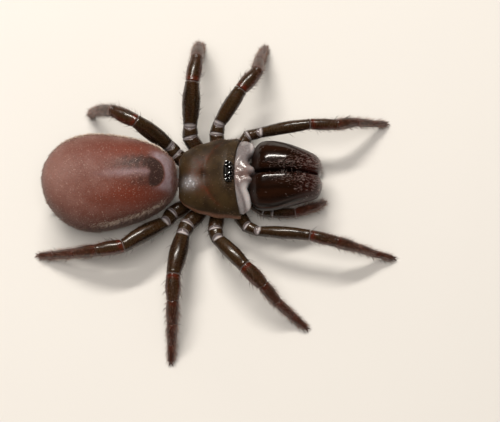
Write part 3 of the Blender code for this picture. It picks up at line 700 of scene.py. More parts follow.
@dataclass(frozen=True)
class PlateFinish:
    """Slightly clear olive-brown back plate with rusty grooves, a pale thin rim and a glossy place with painted
    glints.
    """

    name: str = "back plate"
    deep: Colour = linear(38, 26, 14)
    olive: Colour = linear(60, 45, 25)
    # Colour of the painted shade in the pit and along the front edge.
    rust: Colour = linear(80, 36, 17)
    shade: Colour = linear(24, 14, 9)
    rim: Colour = linear(132, 92, 72)
    # Near-white of the painted glints.
    moisture: Colour = linear(192, 192, 196)
    roughness: float = 0.5

    def material(self) -> Material:
        """Olive clouds, rust along the groove and behind it, painted shade in the pit and along the front edge,
        a pale rim and painted glints as white dots on the glossy place.

        Returns:
            The material, which reads the marks rust, shade, rim and wet.
        """
        graph = Graph(self.name, IOR=1.42, Specular_IOR_Level=0.35, Subsurface_Weight=0.12,
                      Subsurface_Radius=(1.0, 0.6, 0.25), Subsurface_Scale=0.0005)
        fine, wet = graph.noise(6.0, 4.0, 0.6), graph.attribute("wet")
        colour = graph.mix(graph.cloud(0.6, 0.32, 0.68, detail=4.0, rough=0.6), self.deep, self.olive)
        rusty = graph.times(graph.attribute("rust"), graph.step(fine, 0.3, 0.65, 0.2))
        colour = graph.paint(graph.mix(rusty, colour, self.rust), shade=self.shade, rim=self.rim)
        colour = graph.mix(graph.step(graph.cells(1.3), 0.03, 0.07, 0.7, 0.0), colour, self.rim)
        # Painted glints: white dots over the glossy place.
        painted_glint_dots = graph.times(graph.step(graph.cells(3.2), 0.08, 0.42, 1.0, 0.4), wet)
        colour = graph.mix(painted_glint_dots, colour, self.moisture)
        shine = graph.step(fine, 0.3, 0.75, self.roughness - 0.04, self.roughness + 0.1)
        shine = graph.math("SUBTRACT", shine, graph.times(wet, 0.36))
        relief = graph.bump(graph.noise(1.4), 0.04, strength=0.3)
        return graph.finish(colour, shine, graph.bump(graph.noise(9.0), 0.008, relief, 0.5))


@dataclass(frozen=True)
class JawFinish:
    """Near-black, very glossy cuticle of the chelicerae, maroon towards the end."""

    name: str = "chelicera horn"
    black: Colour = linear(22, 11, 6)
    brown: Colour = linear(42, 21, 11)
    maroon: Colour = linear(52, 20, 15)
    line: Colour = linear(80, 40, 22)
    roughness: float = 0.16

    def material(self) -> Material:
        """Black with brown streaks, maroon by the end, thin brown lines along each side and a duller flank.

        Returns:
            The material, which reads the marks lie, distal, line and matt.
        """
        graph = Graph(self.name, IOR=1.46, Specular_IOR_Level=0.3, Coat_Weight=0.3, Coat_Roughness=0.1)
        lie = graph.stretched(graph.attribute("lie", "Vector"), (1.0, 1.0, 0.14))
        fine, distal = graph.noise(6.0, 4.0, 0.6), graph.attribute("distal")
        streaks = graph.times(graph.cloud(1.0, 0.38, 0.7, detail=4.0, rough=0.55, vector=lie), 0.7)
        colour = graph.mix(streaks, self.black, self.brown)
        colour = graph.mix(graph.times(distal, graph.step(fine, 0.3, 0.7, 0.4)), colour, self.maroon)
        colour = graph.paint(colour, line=self.line)
        dull = graph.math("ADD", graph.times(distal, 0.14), graph.times(graph.attribute("matt"), 0.24))
        shine = graph.step(fine, 0.3, 0.8, self.roughness - 0.03, self.roughness + 0.08)
        relief = graph.bump(graph.noise(1.4, 2.0), 0.04, strength=0.3)
        relief = graph.bump(graph.noise(14.0), 0.006, relief, 0.4)
        return graph.finish(colour, graph.math("ADD", dull, shine), relief)


@dataclass(frozen=True)
class FoldFinish:
    """Moist pale skin in folds, pinker in the middle, with painted highlights that make it lilac-white at the
    sides.
    """

    name: str = "pale folded skin"
    pale: Colour = linear(124, 117, 117)
    # Near-white of the painted highlights along the rims.
    bright: Colour = linear(212, 206, 205)
    pink: Colour = linear(120, 92, 85)
    # Colour of the painted shade in the furrows.
    crease: Colour = linear(88, 70, 67)
    roughness: float = 0.24

    def material(self) -> Material:
        """Pale to pink by place, with painted highlights along the rims and painted shade in the furrows, and
        fine moist wrinkles as relief.

        Returns:
            The material, which reads the marks pink, rim and crease.
        """
        graph = Graph(self.name, IOR=1.45, Coat_Weight=0.5, Coat_Roughness=0.12, Subsurface_Weight=0.4,
                      Subsurface_Radius=(1.0, 0.6, 0.5), Subsurface_Scale=0.0006)
        blush = graph.cloud(1.6, 0.5, 0.8, 0.0, 0.4, 4.0, 0.6)
        warm = graph.math("MAXIMUM", graph.attribute("pink"), blush)
        # Painted highlights along the rims and painted shade in the furrows.
        colour = graph.paint(graph.mix(warm, self.pale, self.pink), rim=self.bright, crease=self.crease)
        shine = graph.cloud(6.0, 0.3, 0.7, self.roughness - 0.08, self.roughness + 0.15)
        relief = graph.bump(graph.noise(3.0), 0.05, strength=0.4)
        return graph.finish(colour, shine, graph.bump(graph.noise(12.0), 0.012, relief, 0.5))


@dataclass(frozen=True)
class EyeFinish:
    """Clear black lens of an eye."""

    name: str = "eye lens"
    black: Colour = linear(3, 3, 4)
    brown: Colour = linear(14, 8, 6)
    roughness: float = 0.1

    def material(self) -> Material:
        """Black gloss under a clear coat, with a faint brown depth and fine relief.

        Returns:
            The material.
        """
        graph = Graph(self.name, IOR=2.4, Coat_Weight=0.8, Coat_IOR=1.9, Coat_Roughness=0.08)
        colour = graph.mix(graph.cloud(5.0, 0.4, 0.8, 0.0, 0.5), self.black, self.brown)
        shine = graph.cloud(12.0, 0.3, 0.8, self.roughness, self.roughness + 0.05)
        return graph.finish(colour, shine, graph.bump(graph.noise(20.0), 0.003, strength=0.3))


@dataclass(frozen=True)
class ClawFinish:
    """Smooth horn of fangs and claws, black with a red-brown clear end."""

    name: str
    black: Colour = linear(18, 9, 7)
    red: Colour = linear(86, 26, 14)
    roughness: float = 0.1

    def material(self) -> Material:
        """Black to red along the horn's own share of length, under a hard gloss.

        Returns:
            The material, which reads the mark distal.
        """
        graph = Graph(self.name, IOR=1.54, Coat_Weight=0.6, Coat_Roughness=0.05)
        fine = graph.noise(5.0)
        share = graph.times(graph.attribute("distal"), graph.step(fine, 0.2, 0.8, 0.6))
        colour = graph.mix(share, self.black, self.red)
        shine = graph.step(fine, 0.3, 0.8, self.roughness, self.roughness + 0.1)
        return graph.finish(colour, shine, graph.bump(graph.noise(14.0), 0.008, strength=0.4))


@dataclass(frozen=True)
class HairFinish:
    """Fine hairs of two tones, mixed hair by hair, a little lighter towards the tips."""

    name: str
    dark: Colour
    light: Colour
    tip: Colour
    share: float = 0.5
    roughness: float = 0.45

    def material(self) -> Material:
        """Tone of each hair from its own draw, tip colour from its height.

        Returns:
            The material, which reads the marks tone and height.
        """
        graph = Graph(self.name, IOR=1.5, Sheen_Weight=0.2, Sheen_Roughness=0.4)
        tone = graph.step(graph.attribute("tone"), self.share - 0.25, self.share + 0.25)
        height = graph.step(graph.attribute("height"), 0.2, 1.0, 0.0, 0.75)
        colour = graph.mix(height, graph.mix(tone, self.dark, self.light), self.tip)
        shine = graph.cloud(8.0, 0.3, 0.7, self.roughness - 0.08, self.roughness + 0.1)
        return graph.finish(colour, shine, graph.bump(graph.noise(30.0), 0.004, strength=0.3))


@dataclass(frozen=True)
class StudioFinish:
    """Matt pale paper of the studio floor."""

    name: str = "studio paper"
    pale: Colour = linear(222, 219, 214)
    grey: Colour = (0.6, 0.6, 0.6, 1.0)
    roughness: float = 0.85

    def material(self) -> Material:
        """Even pale paper with a faint tooth.

        Returns:
            The material.
        """
        graph = Graph(self.name)
        colour = graph.mix(graph.cloud(0.05, 0.3, 0.7, 0.0, 0.05), self.pale, self.grey)
        return graph.finish(colour, self.roughness, graph.bump(graph.noise(3.0), 0.01, strength=0.2))


@dataclass(frozen=True)
class Finger:
    """One spinning finger: its reach, its turn outwards in degrees, its share of thickness and its rise."""

    reach: float
    spread: float
    thickness: float
    rise: float


@dataclass
class Abdomen:
    """The soft egg-shaped abdomen with its heart mark and short pile, the spinnerets and the waist."""

    length: float = 13.5
    half_width: float = 5.0
    height: float = 8.4
    sink: float = 0.45
    widest: float = 0.61
    highest: float = 0.34
    swing: float = 3.6
    front_x: float = 0.3
    tail_lift: float = 1.1
    pile_depth: float = 0.03
    mark_front: float = 1.2
    mark_middle: float = 2.3
    mark_half_width: float = 1.4
    mark_length: float = 7.8
    mark_shift: float = 0.38
    band_place: float = 0.92
    # Strength of each brick patch, its place and width across the back, and its place and width along it.
    brick_patches: tuple[Row, ...] = ((0.8, 2.3, 1.3, 5.2, 4.6), (1.1, -2.3, 1.4, 4.0, 3.3))
    unevenness: float = 0.025
    rows: int = 170
    columns: int = 150
    pile_count: int = 13000
    fringe_count: int = 1500
    fingers: tuple[Finger, ...] = (Finger(1.4, 14.0, 0.85, 0.16), Finger(0.8, -8.0, 0.7, -0.1),
                                   Finger(0.75, 48.0, 0.75, -0.1))
    finger_root: Triple = (-11.76, 0.62, 1.34)
    finger_radius: float = 0.34
    finger_hairs: int = 160
    knob_root: Triple = (-11.2, 0.62, 1.95)
    knob_way: Triple = (-0.95, 0.0, -0.75)
    knob_radius: float = 0.5
    waist_front: float = 1.2
    waist_length: float = 1.25
    waist_height: float = 2.3
    waist_radius: float = 0.5
    seed: int = 11

    def egg(self, share: Array) -> Array:
        """Relative width: (1 - (1 - t / w)^1.28)^0.36 in front of the widest place, an ellipse behind it."""
        behind = np.sqrt(1.0 - past(share, self.widest) ** 2.1)
        return np.where(share < self.widest, swell(share / self.widest, 1.28) ** 0.36, behind)

    def loft(self, share: Array) -> Array:
        """Relative height: (1 - (1 - t / h)^2.4)^0.5 before the highest place, (1 - b^2.3)^0.5 behind it."""
        return np.sqrt(swell(share / self.highest, 2.4)) * np.sqrt(1.0 - past(share, self.highest) ** 2.3)

    def turn(self, points: Array) -> Array:
        """Points of the abdomen's own frame, turned about the upright line through its front end.

        Args:
            points: places with the abdomen along -X from zero.

        Returns:
            Places in the spider's own frame.
        """
        cos, sin = np.cos(np.radians(self.swing)), np.sin(np.radians(self.swing))
        x, y, z = np.moveaxis(points, -1, 0)
        return places(self.front_x + x * cos - y * sin, x * sin + y * cos, z)

    @property
    def half_height(self) -> float:
        """Half the height of the egg, with the part that the floor cuts off."""
        return (self.height + self.sink) / 2.0

    def skin(self) -> Skin:
        """The skin: superellipse rings along the egg, resting on the floor, with its markings.

        Returns:
            The skin with the marks mark, crescent, brick, rear and under.
        """
        share = cosine_steps(self.rows + 2)[1:-1, None]
        angles = ring_angles(self.columns)
        high = self.loft(share)
        across = (self.half_width * self.egg(share) - self.pile_depth) * power_cosine(angles, 2.1)
        rise = (self.half_height * high - self.pile_depth) * power_sine(angles, 2.1)
        middle = self.half_height - self.sink + 0.35 * (1.0 - high) + self.tail_lift * past(share, 0.6) ** 2
        skin = Skin(places(-share * self.length, across, middle + rise))
        flat = skin.points + skin.normals() * (ripple(skin.points, 3.4, 5)[..., None] - 1.0) * self.unevenness
        flat[..., 2] = np.maximum(flat[..., 2], 0.0)
        return Skin(self.turn(flat), self.markings(flat))

    def markings(self, flat: Array) -> dict[str, Array]:
        """Where the abdomen's colours lie.

        The heart mark is a round cap at the front with a band along each side of the back. A faint grey
        painted highlight lies between the bands, grey skin lies round the cap, brick patches lie outside the
        bands, the rear is mauve and the underside is darkened with painted shade.

        Args:
            flat: places of the skin in the abdomen's own frame.

        Returns:
            Grids from 0 to 1 of mark, crescent, brick, rear and under.
        """
        back, across, height = -flat[..., 0], flat[..., 1], flat[..., 2]
        top = smooth(0.1, 0.5, (height - 4.0) / self.half_height)
        aside = across + self.mark_shift
        cloudy = ripple(flat, 0.8, 14)
        ahead = np.minimum(back - self.mark_middle, 0.0) / (self.mark_middle - self.mark_front)
        reach = np.sqrt(ahead ** 2 + (aside / self.mark_half_width) ** 2)
        cap = (1.0 - smooth(0.86, 1.08, reach)) * (1.0 - smooth(2.1, 2.9, back + 0.15 * cloudy))
        left = smooth(-0.2, 0.4, aside)
        length = self.mark_length - 1.2 + 1.8 * left
        bands = hump(np.abs(aside) - self.band_place, 0.0, 0.95) * smooth(1.6, 2.6, back)
        bands = bands * (1.0 - smooth(2.8 + 0.8 * left, length, back)) * (0.7 + 0.25 * left)
        # Painted highlight: a faint grey band along the middle of the back, laid down by the grey front mark.
        painted_streak = hump(aside + 0.05 - 0.06 * cloudy, 0.0, 0.42) * smooth(2.1, 2.9, back)
        painted_streak = painted_streak * (1.0 - smooth(4.6, 9.0, back))
        front = smooth(0.0, 0.14, reach - 1.0) * (1.0 - smooth(1.7, 2.9, back))
        front = front * (1.0 - smooth(1.4, 2.3, np.abs(aside - 0.35)))
        front = front * smooth(0.25, 0.75, back + 0.1 * cloudy)
        patch = sum(strength * hump(aside, out, wide) * hump(back, behind, long)
                    for strength, out, wide, behind, long in self.brick_patches)
        shade_top = 6.9 - 0.8 * smooth(-1.0, 3.0, across) + 0.7 * smooth(7.0, 11.0, back)
        return {
            "mark": np.clip(cap + bands * (0.9 + 0.2 * cloudy), 0.0, 1.0) * top,
            # Grey skin round the cap, plus the painted highlight along the back.
            "crescent": np.clip(front * (0.9 + 0.2 * cloudy) + 0.55 * painted_streak * top, 0.0, 1.0),
            "brick": np.clip(patch, 0.0, 1.0) * top,
            "rear": smooth(7.5, 12.5, back) * 0.8 * hump(aside, 0.6, 3.2),
            # Painted shade: darker towards the bottom, reaching higher on the right side and towards the rear.
            "under": 0.95 * (1.0 - smooth(2.6, shade_top, height)),
        }

    def build(self) -> None:
        """Makes skin, pile, spinnerets and waist."""
        rng = np.random.default_rng(self.seed)
        skin = self.skin()
        deliver(skin.dress("abdomen_skin", VelvetFinish().material()), "abdomen", "abdomen")
        flank = 1.0 - smooth(0.1, 0.75, np.abs(skin.normals()[..., 2]))
        density = 0.1 + (0.35 + 0.6 * flank) * smooth(0.2, 2.0, skin.points[..., 2])
        rows, columns = skin.scatter(density, self.pile_count, rng)
        pile = HairFinish("abdomen pile", linear(86, 51, 41), linear(134, 98, 84), linear(178, 146, 128), 0.6)
        style = HairStyle(length=0.26, thickness=0.022, lift=24.0, uneven=0.5, stray=16.0)
        lengths = 0.75 + 0.9 * skin.read(flank, rows, columns)
        coat = grow_hairs("abdomen_pile", skin, rows, columns, style, pile.material(), rng, lengths=lengths)
        deliver(coat, "abdomen")
        self.build_fringe(skin, rng)
        self.build_spinnerets(rng)
        self.build_waist()

    def build_fringe(self, skin: Skin, rng: Random) -> None:
        """Makes the band of longer pale hairs along the abdomen's widest line.

        Args:
            skin: the abdomen's skin.
            rng: source of the random draws.
        """
        x, y, z = np.moveaxis(skin.points, -1, 0)
        clumps = np.clip(0.75 + 0.4 * ripple(skin.points, 0.45, 31), 0.0, 1.0)
        start = -12.5 + 4.0 * smooth(0.0, 3.0, -y)
        band = hump(z, 5.7 - 0.6 * smooth(-1.0, 1.0, -y), 0.32) * smooth(0.0, 3.0, x - start)
        band = band * (1.0 - smooth(-1.6, -0.6, x)) * clumps
        rows, columns = skin.scatter(band, self.fringe_count, rng)
        pale = HairFinish("abdomen fringe", linear(150, 116, 98), linear(214, 190, 170),
                          linear(244, 230, 214), 0.4)
        style = HairStyle(length=0.42, thickness=0.05, lift=38.0, uneven=0.6, stray=26.0)
        upward = skin.read(np.gradient(skin.points, axis=0), rows, columns) * 4.0 + UP * 0.1
        coat = grow_hairs("abdomen_fringe", skin, rows, columns, style, pale.material(), rng, upward)
        deliver(coat, "abdomen")

    def build_spinnerets(self, rng: Random) -> None:
        """Makes each side's three spinning fingers and their knob, with fine hairs.

        Args:
            rng: source of the random draws.
        """
        skin_finish = HornFinish("spinneret skin", linear(70, 44, 36), linear(104, 72, 60),
                                 distal=linear(96, 60, 46), roughness=0.42).material()
        hair_finish = HairFinish("spinneret hair", linear(60, 38, 28), linear(150, 116, 92),
                                 linear(196, 170, 146)).material()
        style = HairStyle(length=0.22, thickness=0.018, lift=30.0)
        along = np.linspace(0.0, 1.0, 40)
        front = np.array((self.front_x, 0.0, 0.0))
        for side in Side:
            for number, finger in enumerate(self.fingers, 1):
                heading = np.pi - np.radians(finger.spread) * side.value
                way = np.array((np.cos(heading), np.sin(heading), finger.rise))
                start = np.array(self.finger_root) * side.mirror - front
                centres = start + way * finger.reach * along[:, None]
                waist = 0.06 * (hump(along, 0.33, 0.03) + hump(along, 0.66, 0.03))
                radii = self.finger_radius * finger.thickness * (1.0 - 0.42 * along ** 1.6 - waist)
                radii = radii * np.sqrt(1.0 - along ** 10 * 0.95)
                grid = self.turn(tube_points(centres, unit(way), radii, 24))
                marks = HornFinish.marks(grid, distal=along[:, None], membrane=waist[:, None] * 6.0)
                skin = Skin(grid, marks)
                name = f"spinneret_{side.word}_{number}"
                nodes = (f"spinnerets_{side.word}",) if number == 1 else ()
                deliver(skin.dress(name, skin_finish), "spinneret", *nodes)
                rows, columns = skin.scatter(np.ones(grid.shape[:2]), self.finger_hairs, rng)
                deliver(grow_hairs(name + "_hair", skin, rows, columns, style, hair_finish, rng), "spinneret")
            share = cosine_steps(24)
            way = np.array(self.knob_way)
            centres = np.array(self.knob_root) * side.mirror - front + way * share[:, None]
            radii = self.knob_radius * np.sqrt(np.clip(1.0 - (2.0 * share - 1.0) ** 4, 0.02, 1.0))
            grid = self.turn(tube_points(centres, unit(way), radii, 24))
            knob = Skin(grid, HornFinish.marks(grid))
            deliver(knob.dress(f"spinneret_{side.word}_knob", skin_finish), "spinneret")

    def build_waist(self) -> None:
        """Makes the short stalk with seven rings that joins the abdomen to the body."""
        share = np.linspace(0.0, 1.0, 40)
        centres = places(self.waist_front - self.waist_length * share, 0.0, self.waist_height + 0.15 * share)
        radii = self.waist_radius - 0.06 * np.sin(np.pi * share) + 0.025 * np.cos(share * 7.0 * TURN)
        # Painted shade in the grooves between the stalk's rings.
        crease_ring_shade = 0.5 * smooth(0.0, 1.0, -np.cos(share * 44.0))
        skin = Skin(tube_points(centres, np.array((-1.0, 0.0, 0.0)), radii, 40),
                    {"pink": 0.5, "rim": 0.0, "crease": crease_ring_shade[:, None]})
        deliver(skin.dress("waist_skin", FoldFinish("waist skin").material()), "fold", "waist")


@dataclass
class Carapace:
    """The domed back plate: high head in front, grooved thorax behind, and a thin rim."""

    rear: float = 0.45
    front: float = 6.05
    corner: float = 0.65
    half_width: float = 4.15
    rear_share: float = 0.6
    rim: float = 3.8
    underside: float = 3.3
    edge: float = 0.22
    rear_top: float = 4.25
    thorax_rise: float = 1.15
    head_rise: float = 0.85
    brow_drop: float = 0.2
    pit_x: float = 2.95
    pit_depth: float = 0.12
    wet_place: Pair = (1.6, -0.85)
    # Heading in degrees, reach and strength of each pair of faint grooves that run out from the pit.
    side_grooves: tuple[Triple, ...] = ((104.0, 3.3, 0.3), (140.0, 2.8, 0.2))
    hair_count: int = 520
    rows: int = 190
    columns: int = 150
    seed: int = 23

    def breadth(self, share: Array) -> Array:
        """Half-width along the plate: rising from the rear as 1 - (1 - u / 0.82)^2.1, with round corners."""
        cut = 0.13 * np.clip(1.0 - share / 0.12, 0.0, 1.0) ** 2
        return self.half_width * (self.rear_share + (1.0 - self.rear_share) * swell(share / 0.82, 2.1) - cut)

    def crown(self, share: Array) -> Array:
        """Midline's height: 1 - (1 - u / 0.33)^2.6 up the thorax, a soft step to the head, a small fall."""
        rise = self.thorax_rise * swell(share / 0.33, 2.6) + self.head_rise * smooth(0.45, 0.85, share)
        return self.rear_top + rise - self.brow_drop * np.clip((share - 0.85) / 0.15, 0.0, None)

    def height(self, share: Array, side: Array) -> Array:
        """Upper surface: the crown times (1 - |s|^2.5)^0.62 above the rim."""
        bell = np.clip(1.0 - np.abs(side) ** 2.5, 0.0, 1.0) ** 0.62
        return self.rim + (self.crown(share) - self.rim) * bell

    def head_height(self, x: Array, y: Array) -> Array:
        """Height of the plate above a place on the head."""
        share = (x - self.rear) / (self.front - self.rear)
        return self.height(share, y / self.breadth(share))

    def grooves(self, x: Array, y: Array) -> tuple[Array, Array]:
        """Depth share and rust share of the grooves.

        The head is bounded by one curve, x = 2.9 + 0.16 y^2; two faint grooves run out behind it.

        Args:
            x: places along the body.
            y: places across it.

        Returns:
            Grids of the relief and of the rust colour, each from 0 to 1.
        """
        out = np.abs(y)
        gap = (x - 2.9 - 0.16 * y ** 2) / np.sqrt(1.0 + (0.32 * y) ** 2)
        faded = smooth(0.3, 1.0, out) * (1.0 - smooth(2.9, 3.7, out))
        relief = 0.8 * faded * hump(gap, 0.0, 0.22)
        broken = np.clip(0.5 + 0.7 * ripple(places(x, y, 0.0), 1.1, 8), 0.0, 1.0)
        rust = 0.6 * faded * hump(gap, -0.04, 0.2) * broken
        rust = rust + 0.9 * hump(gap, -0.5, 0.9) * (1.0 - smooth(1.0, 2.8, out)) * (0.5 + 0.5 * broken)
        for degrees, end, strength in self.side_grooves:
            way = np.array((np.cos(np.radians(degrees)), np.sin(np.radians(degrees))))
            along = (x - self.pit_x) * way[0] + out * way[1]
            across = -(x - self.pit_x) * way[1] + out * way[0] + 0.03 * (along - 1.0) ** 2
            reach = smooth(0.5, 1.3, along) * (1.0 - smooth(end - 1.2, end, along))
            relief += strength * reach * hump(across, 0.0, 0.3)
        return np.clip(relief, 0.0, 1.0), np.clip(rust, 0.0, 1.0)

    def skin(self) -> Skin:
        """The plate: sections across the body, with rounded edges, grooves, pit and a wavy rim.

        Returns:
            The skin with the marks rust, shade, rim and wet.
        """
        share = cosine_steps(self.rows)[:, None]
        half = self.columns // 2
        side = np.sin((np.arange(half + 1) / half - 0.5) * np.pi)
        sides = np.concatenate((side, side[-2:0:-1]))[None]
        length = self.front + self.corner * np.abs(sides) ** 2.2 - self.rear
        x = self.rear + length * share
        wave = 1.0 + 0.012 * np.sin(x * 3.1 + 1.0) * np.abs(sides) ** 8
        y = self.breadth(share) * sides * wave
        lip = np.sqrt(swell(share / 0.07))
        brow = np.sqrt(swell((1.0 - share) / 0.025))
        top = self.rim + (self.height(share, sides) - self.rim) * lip * (0.8 + 0.2 * brow)
        relief, rust = self.grooves(x, y)
        pit = hump(x, self.pit_x, 0.3) * hump(y, 0.0, 0.5)
        top = top - 0.05 * relief - self.pit_depth * pit + 0.02 * ripple(places(x, y, top), 1.9, 3)
        wet_x, wet_y = self.wet_place
        patch = hump(x, wet_x, 0.6) * hump(y, wet_y, 0.5)
        top = top + 0.03 * patch * ripple(places(x, y, 0.0), 0.42, 12)
        low = self.underside + (self.rim - self.edge - self.underside) * sides ** 2
        upper = np.arange(self.columns) <= half
        z = np.where(upper, np.maximum(top, self.rim - self.edge * 0.6 * np.abs(sides) ** 12), low)
        lip_start = 0.955 - 0.035 * (sides < 0.0) * hump(x, 3.9, 1.6)
        edge_mark = smooth(0.0, 1.0, (np.abs(sides) - lip_start) / (0.99 - lip_start))
        edge_mark = np.maximum(edge_mark, 1.0 - smooth(0.0, 0.012, share))
        # Painted shade: darker in the pit, on the head's midline at x = 3.9 and along the front edge.
        shade = 0.7 * pit + 0.45 * hump(x, 3.9, 0.8) * hump(y, 0.0, 0.6)
        shade = shade + 0.4 * smooth(0.8, 0.97, share) * hump(y, 0.0, 1.5)
        marks = {"rust": rust, "shade": np.clip(shade, 0.0, 1.0), "rim": edge_mark * 0.7,
                 # The glossy place, which also carries the painted glints.
                 "wet": hump(x, wet_x, 0.7) * hump(y, wet_y, 0.6)}
        return Skin(places(x, y, z), marks, Cap.STRIP)

    def build(self) -> None:
        """Makes the plate and its few short hairs."""
        rng = np.random.default_rng(self.seed)
        skin = self.skin()
        deliver(skin.dress("carapace_plate", PlateFinish().material()), "carapace", "carapace")
        x, y = skin.points[..., 0], skin.points[..., 1]
        edge = smooth(0.86, 0.97, np.abs(y) / self.half_width)
        brow = hump(x, 5.6, 0.7) * (np.abs(y) < 2.2)
        density = np.where(skin.normals()[..., 2] > 0.05, 0.04 + 0.35 * edge + 0.5 * brow, 0.0)
        rows, columns = skin.scatter(density, self.hair_count, rng)
        style = HairStyle(length=0.34, thickness=0.022, lift=35.0, uneven=0.6)
        hair = HairFinish("plate hair", linear(44, 26, 18), linear(140, 100, 72), linear(190, 160, 130), 0.6)
        ways = np.tile(np.array((1.0, 0.0, 0.0)), (len(rows), 1))
        coat = grow_hairs("carapace_hairs", skin, rows, columns, style, hair.material(), rng, ways)
        deliver(coat, "carapace")


def bead_skin(centre: Array, radius: float, flat: float = 1.0, rows: int = 28, columns: int = 36) -> Skin:
    """A ball, its height times flat: circles of radius r sin a at height r cos a, for a from pole to pole.

    Args:
        centre: middle of the ball.
        radius: its radius r.
        flat: its height over its width.
        rows: circles from pole to pole.
        columns: points of each circle.

    Returns:
        The ball's skin.
    """
    polar = np.linspace(0.0, np.pi, rows + 2)[1:-1, None]
    angles = ring_angles(columns)
    ball = places(np.sin(polar) * np.cos(angles), np.sin(polar) * np.sin(angles), np.cos(polar))
    return Skin(centre + radius * ball * np.array((1.0, 1.0, flat)))


@dataclass
class EyeGroup:
    """Eight glossy eyes on one black mound: two large ones in the middle, three small ones at each side."""

    carapace: Carapace
    x: float = 5.45
    half_length: float = 0.5
    half_width: float = 1.12
    mound_height: float = 0.34
    mound_sink: float = 0.12
    large: float = 0.29
    small: float = 0.2
    flatness: float = 0.72
    large_place: Pair = (0.14, 0.3)
    small_places: tuple[Pair, ...] = ((0.12, 0.82), (-0.2, 0.92), (-0.24, 0.53))

    def mound(self) -> Skin:
        """The mound: superellipse rings on the head, their height the root of 1 - t^4, sunk a little.

        Returns:
            The skin with the marks of the back plate's finish, all of it in their shade.
        """
        share = np.linspace(1.0, 0.04, 22)[:, None]
        angles = ring_angles(72)
        x = self.x + (self.half_length + 0.04) * power_cosine(angles, 2.4) * share
        y = (self.half_width + 0.06) * power_sine(angles, 2.4) * share
        bell = np.sqrt(np.clip(1.0 - share ** 4, 0.0, 1.0))
        z = self.carapace.head_height(x, y) - self.mound_sink + self.mound_height * bell
        return Skin(places(x, y, z), {"rust": 0.0, "shade": 1.0, "rim": 0.0, "wet": 0.0})

    def build(self) -> None:
        """Makes the mound and the eight eyes."""
        finish = PlateFinish("eye mound", shade=linear(9, 7, 5), roughness=0.4).material()
        deliver(self.mound().dress("eye_mound", finish), "eye", "eyes")
        lens = EyeFinish().material()
        for side in Side:
            places = [(*self.large_place, self.large)] + [(*spot, self.small) for spot in self.small_places]
            for number, (ahead, out, radius) in enumerate(places, 1):
                x, y = self.x + ahead, out * side.value
                lift = self.mound_height - 0.2 + radius * 0.4
                centre = np.array((x, y, float(self.carapace.head_height(x, y)) + lift))
                eye = bead_skin(centre, radius, self.flatness).dress(f"eye_{side.word}_{number}", lens)
                deliver(eye, "eye")


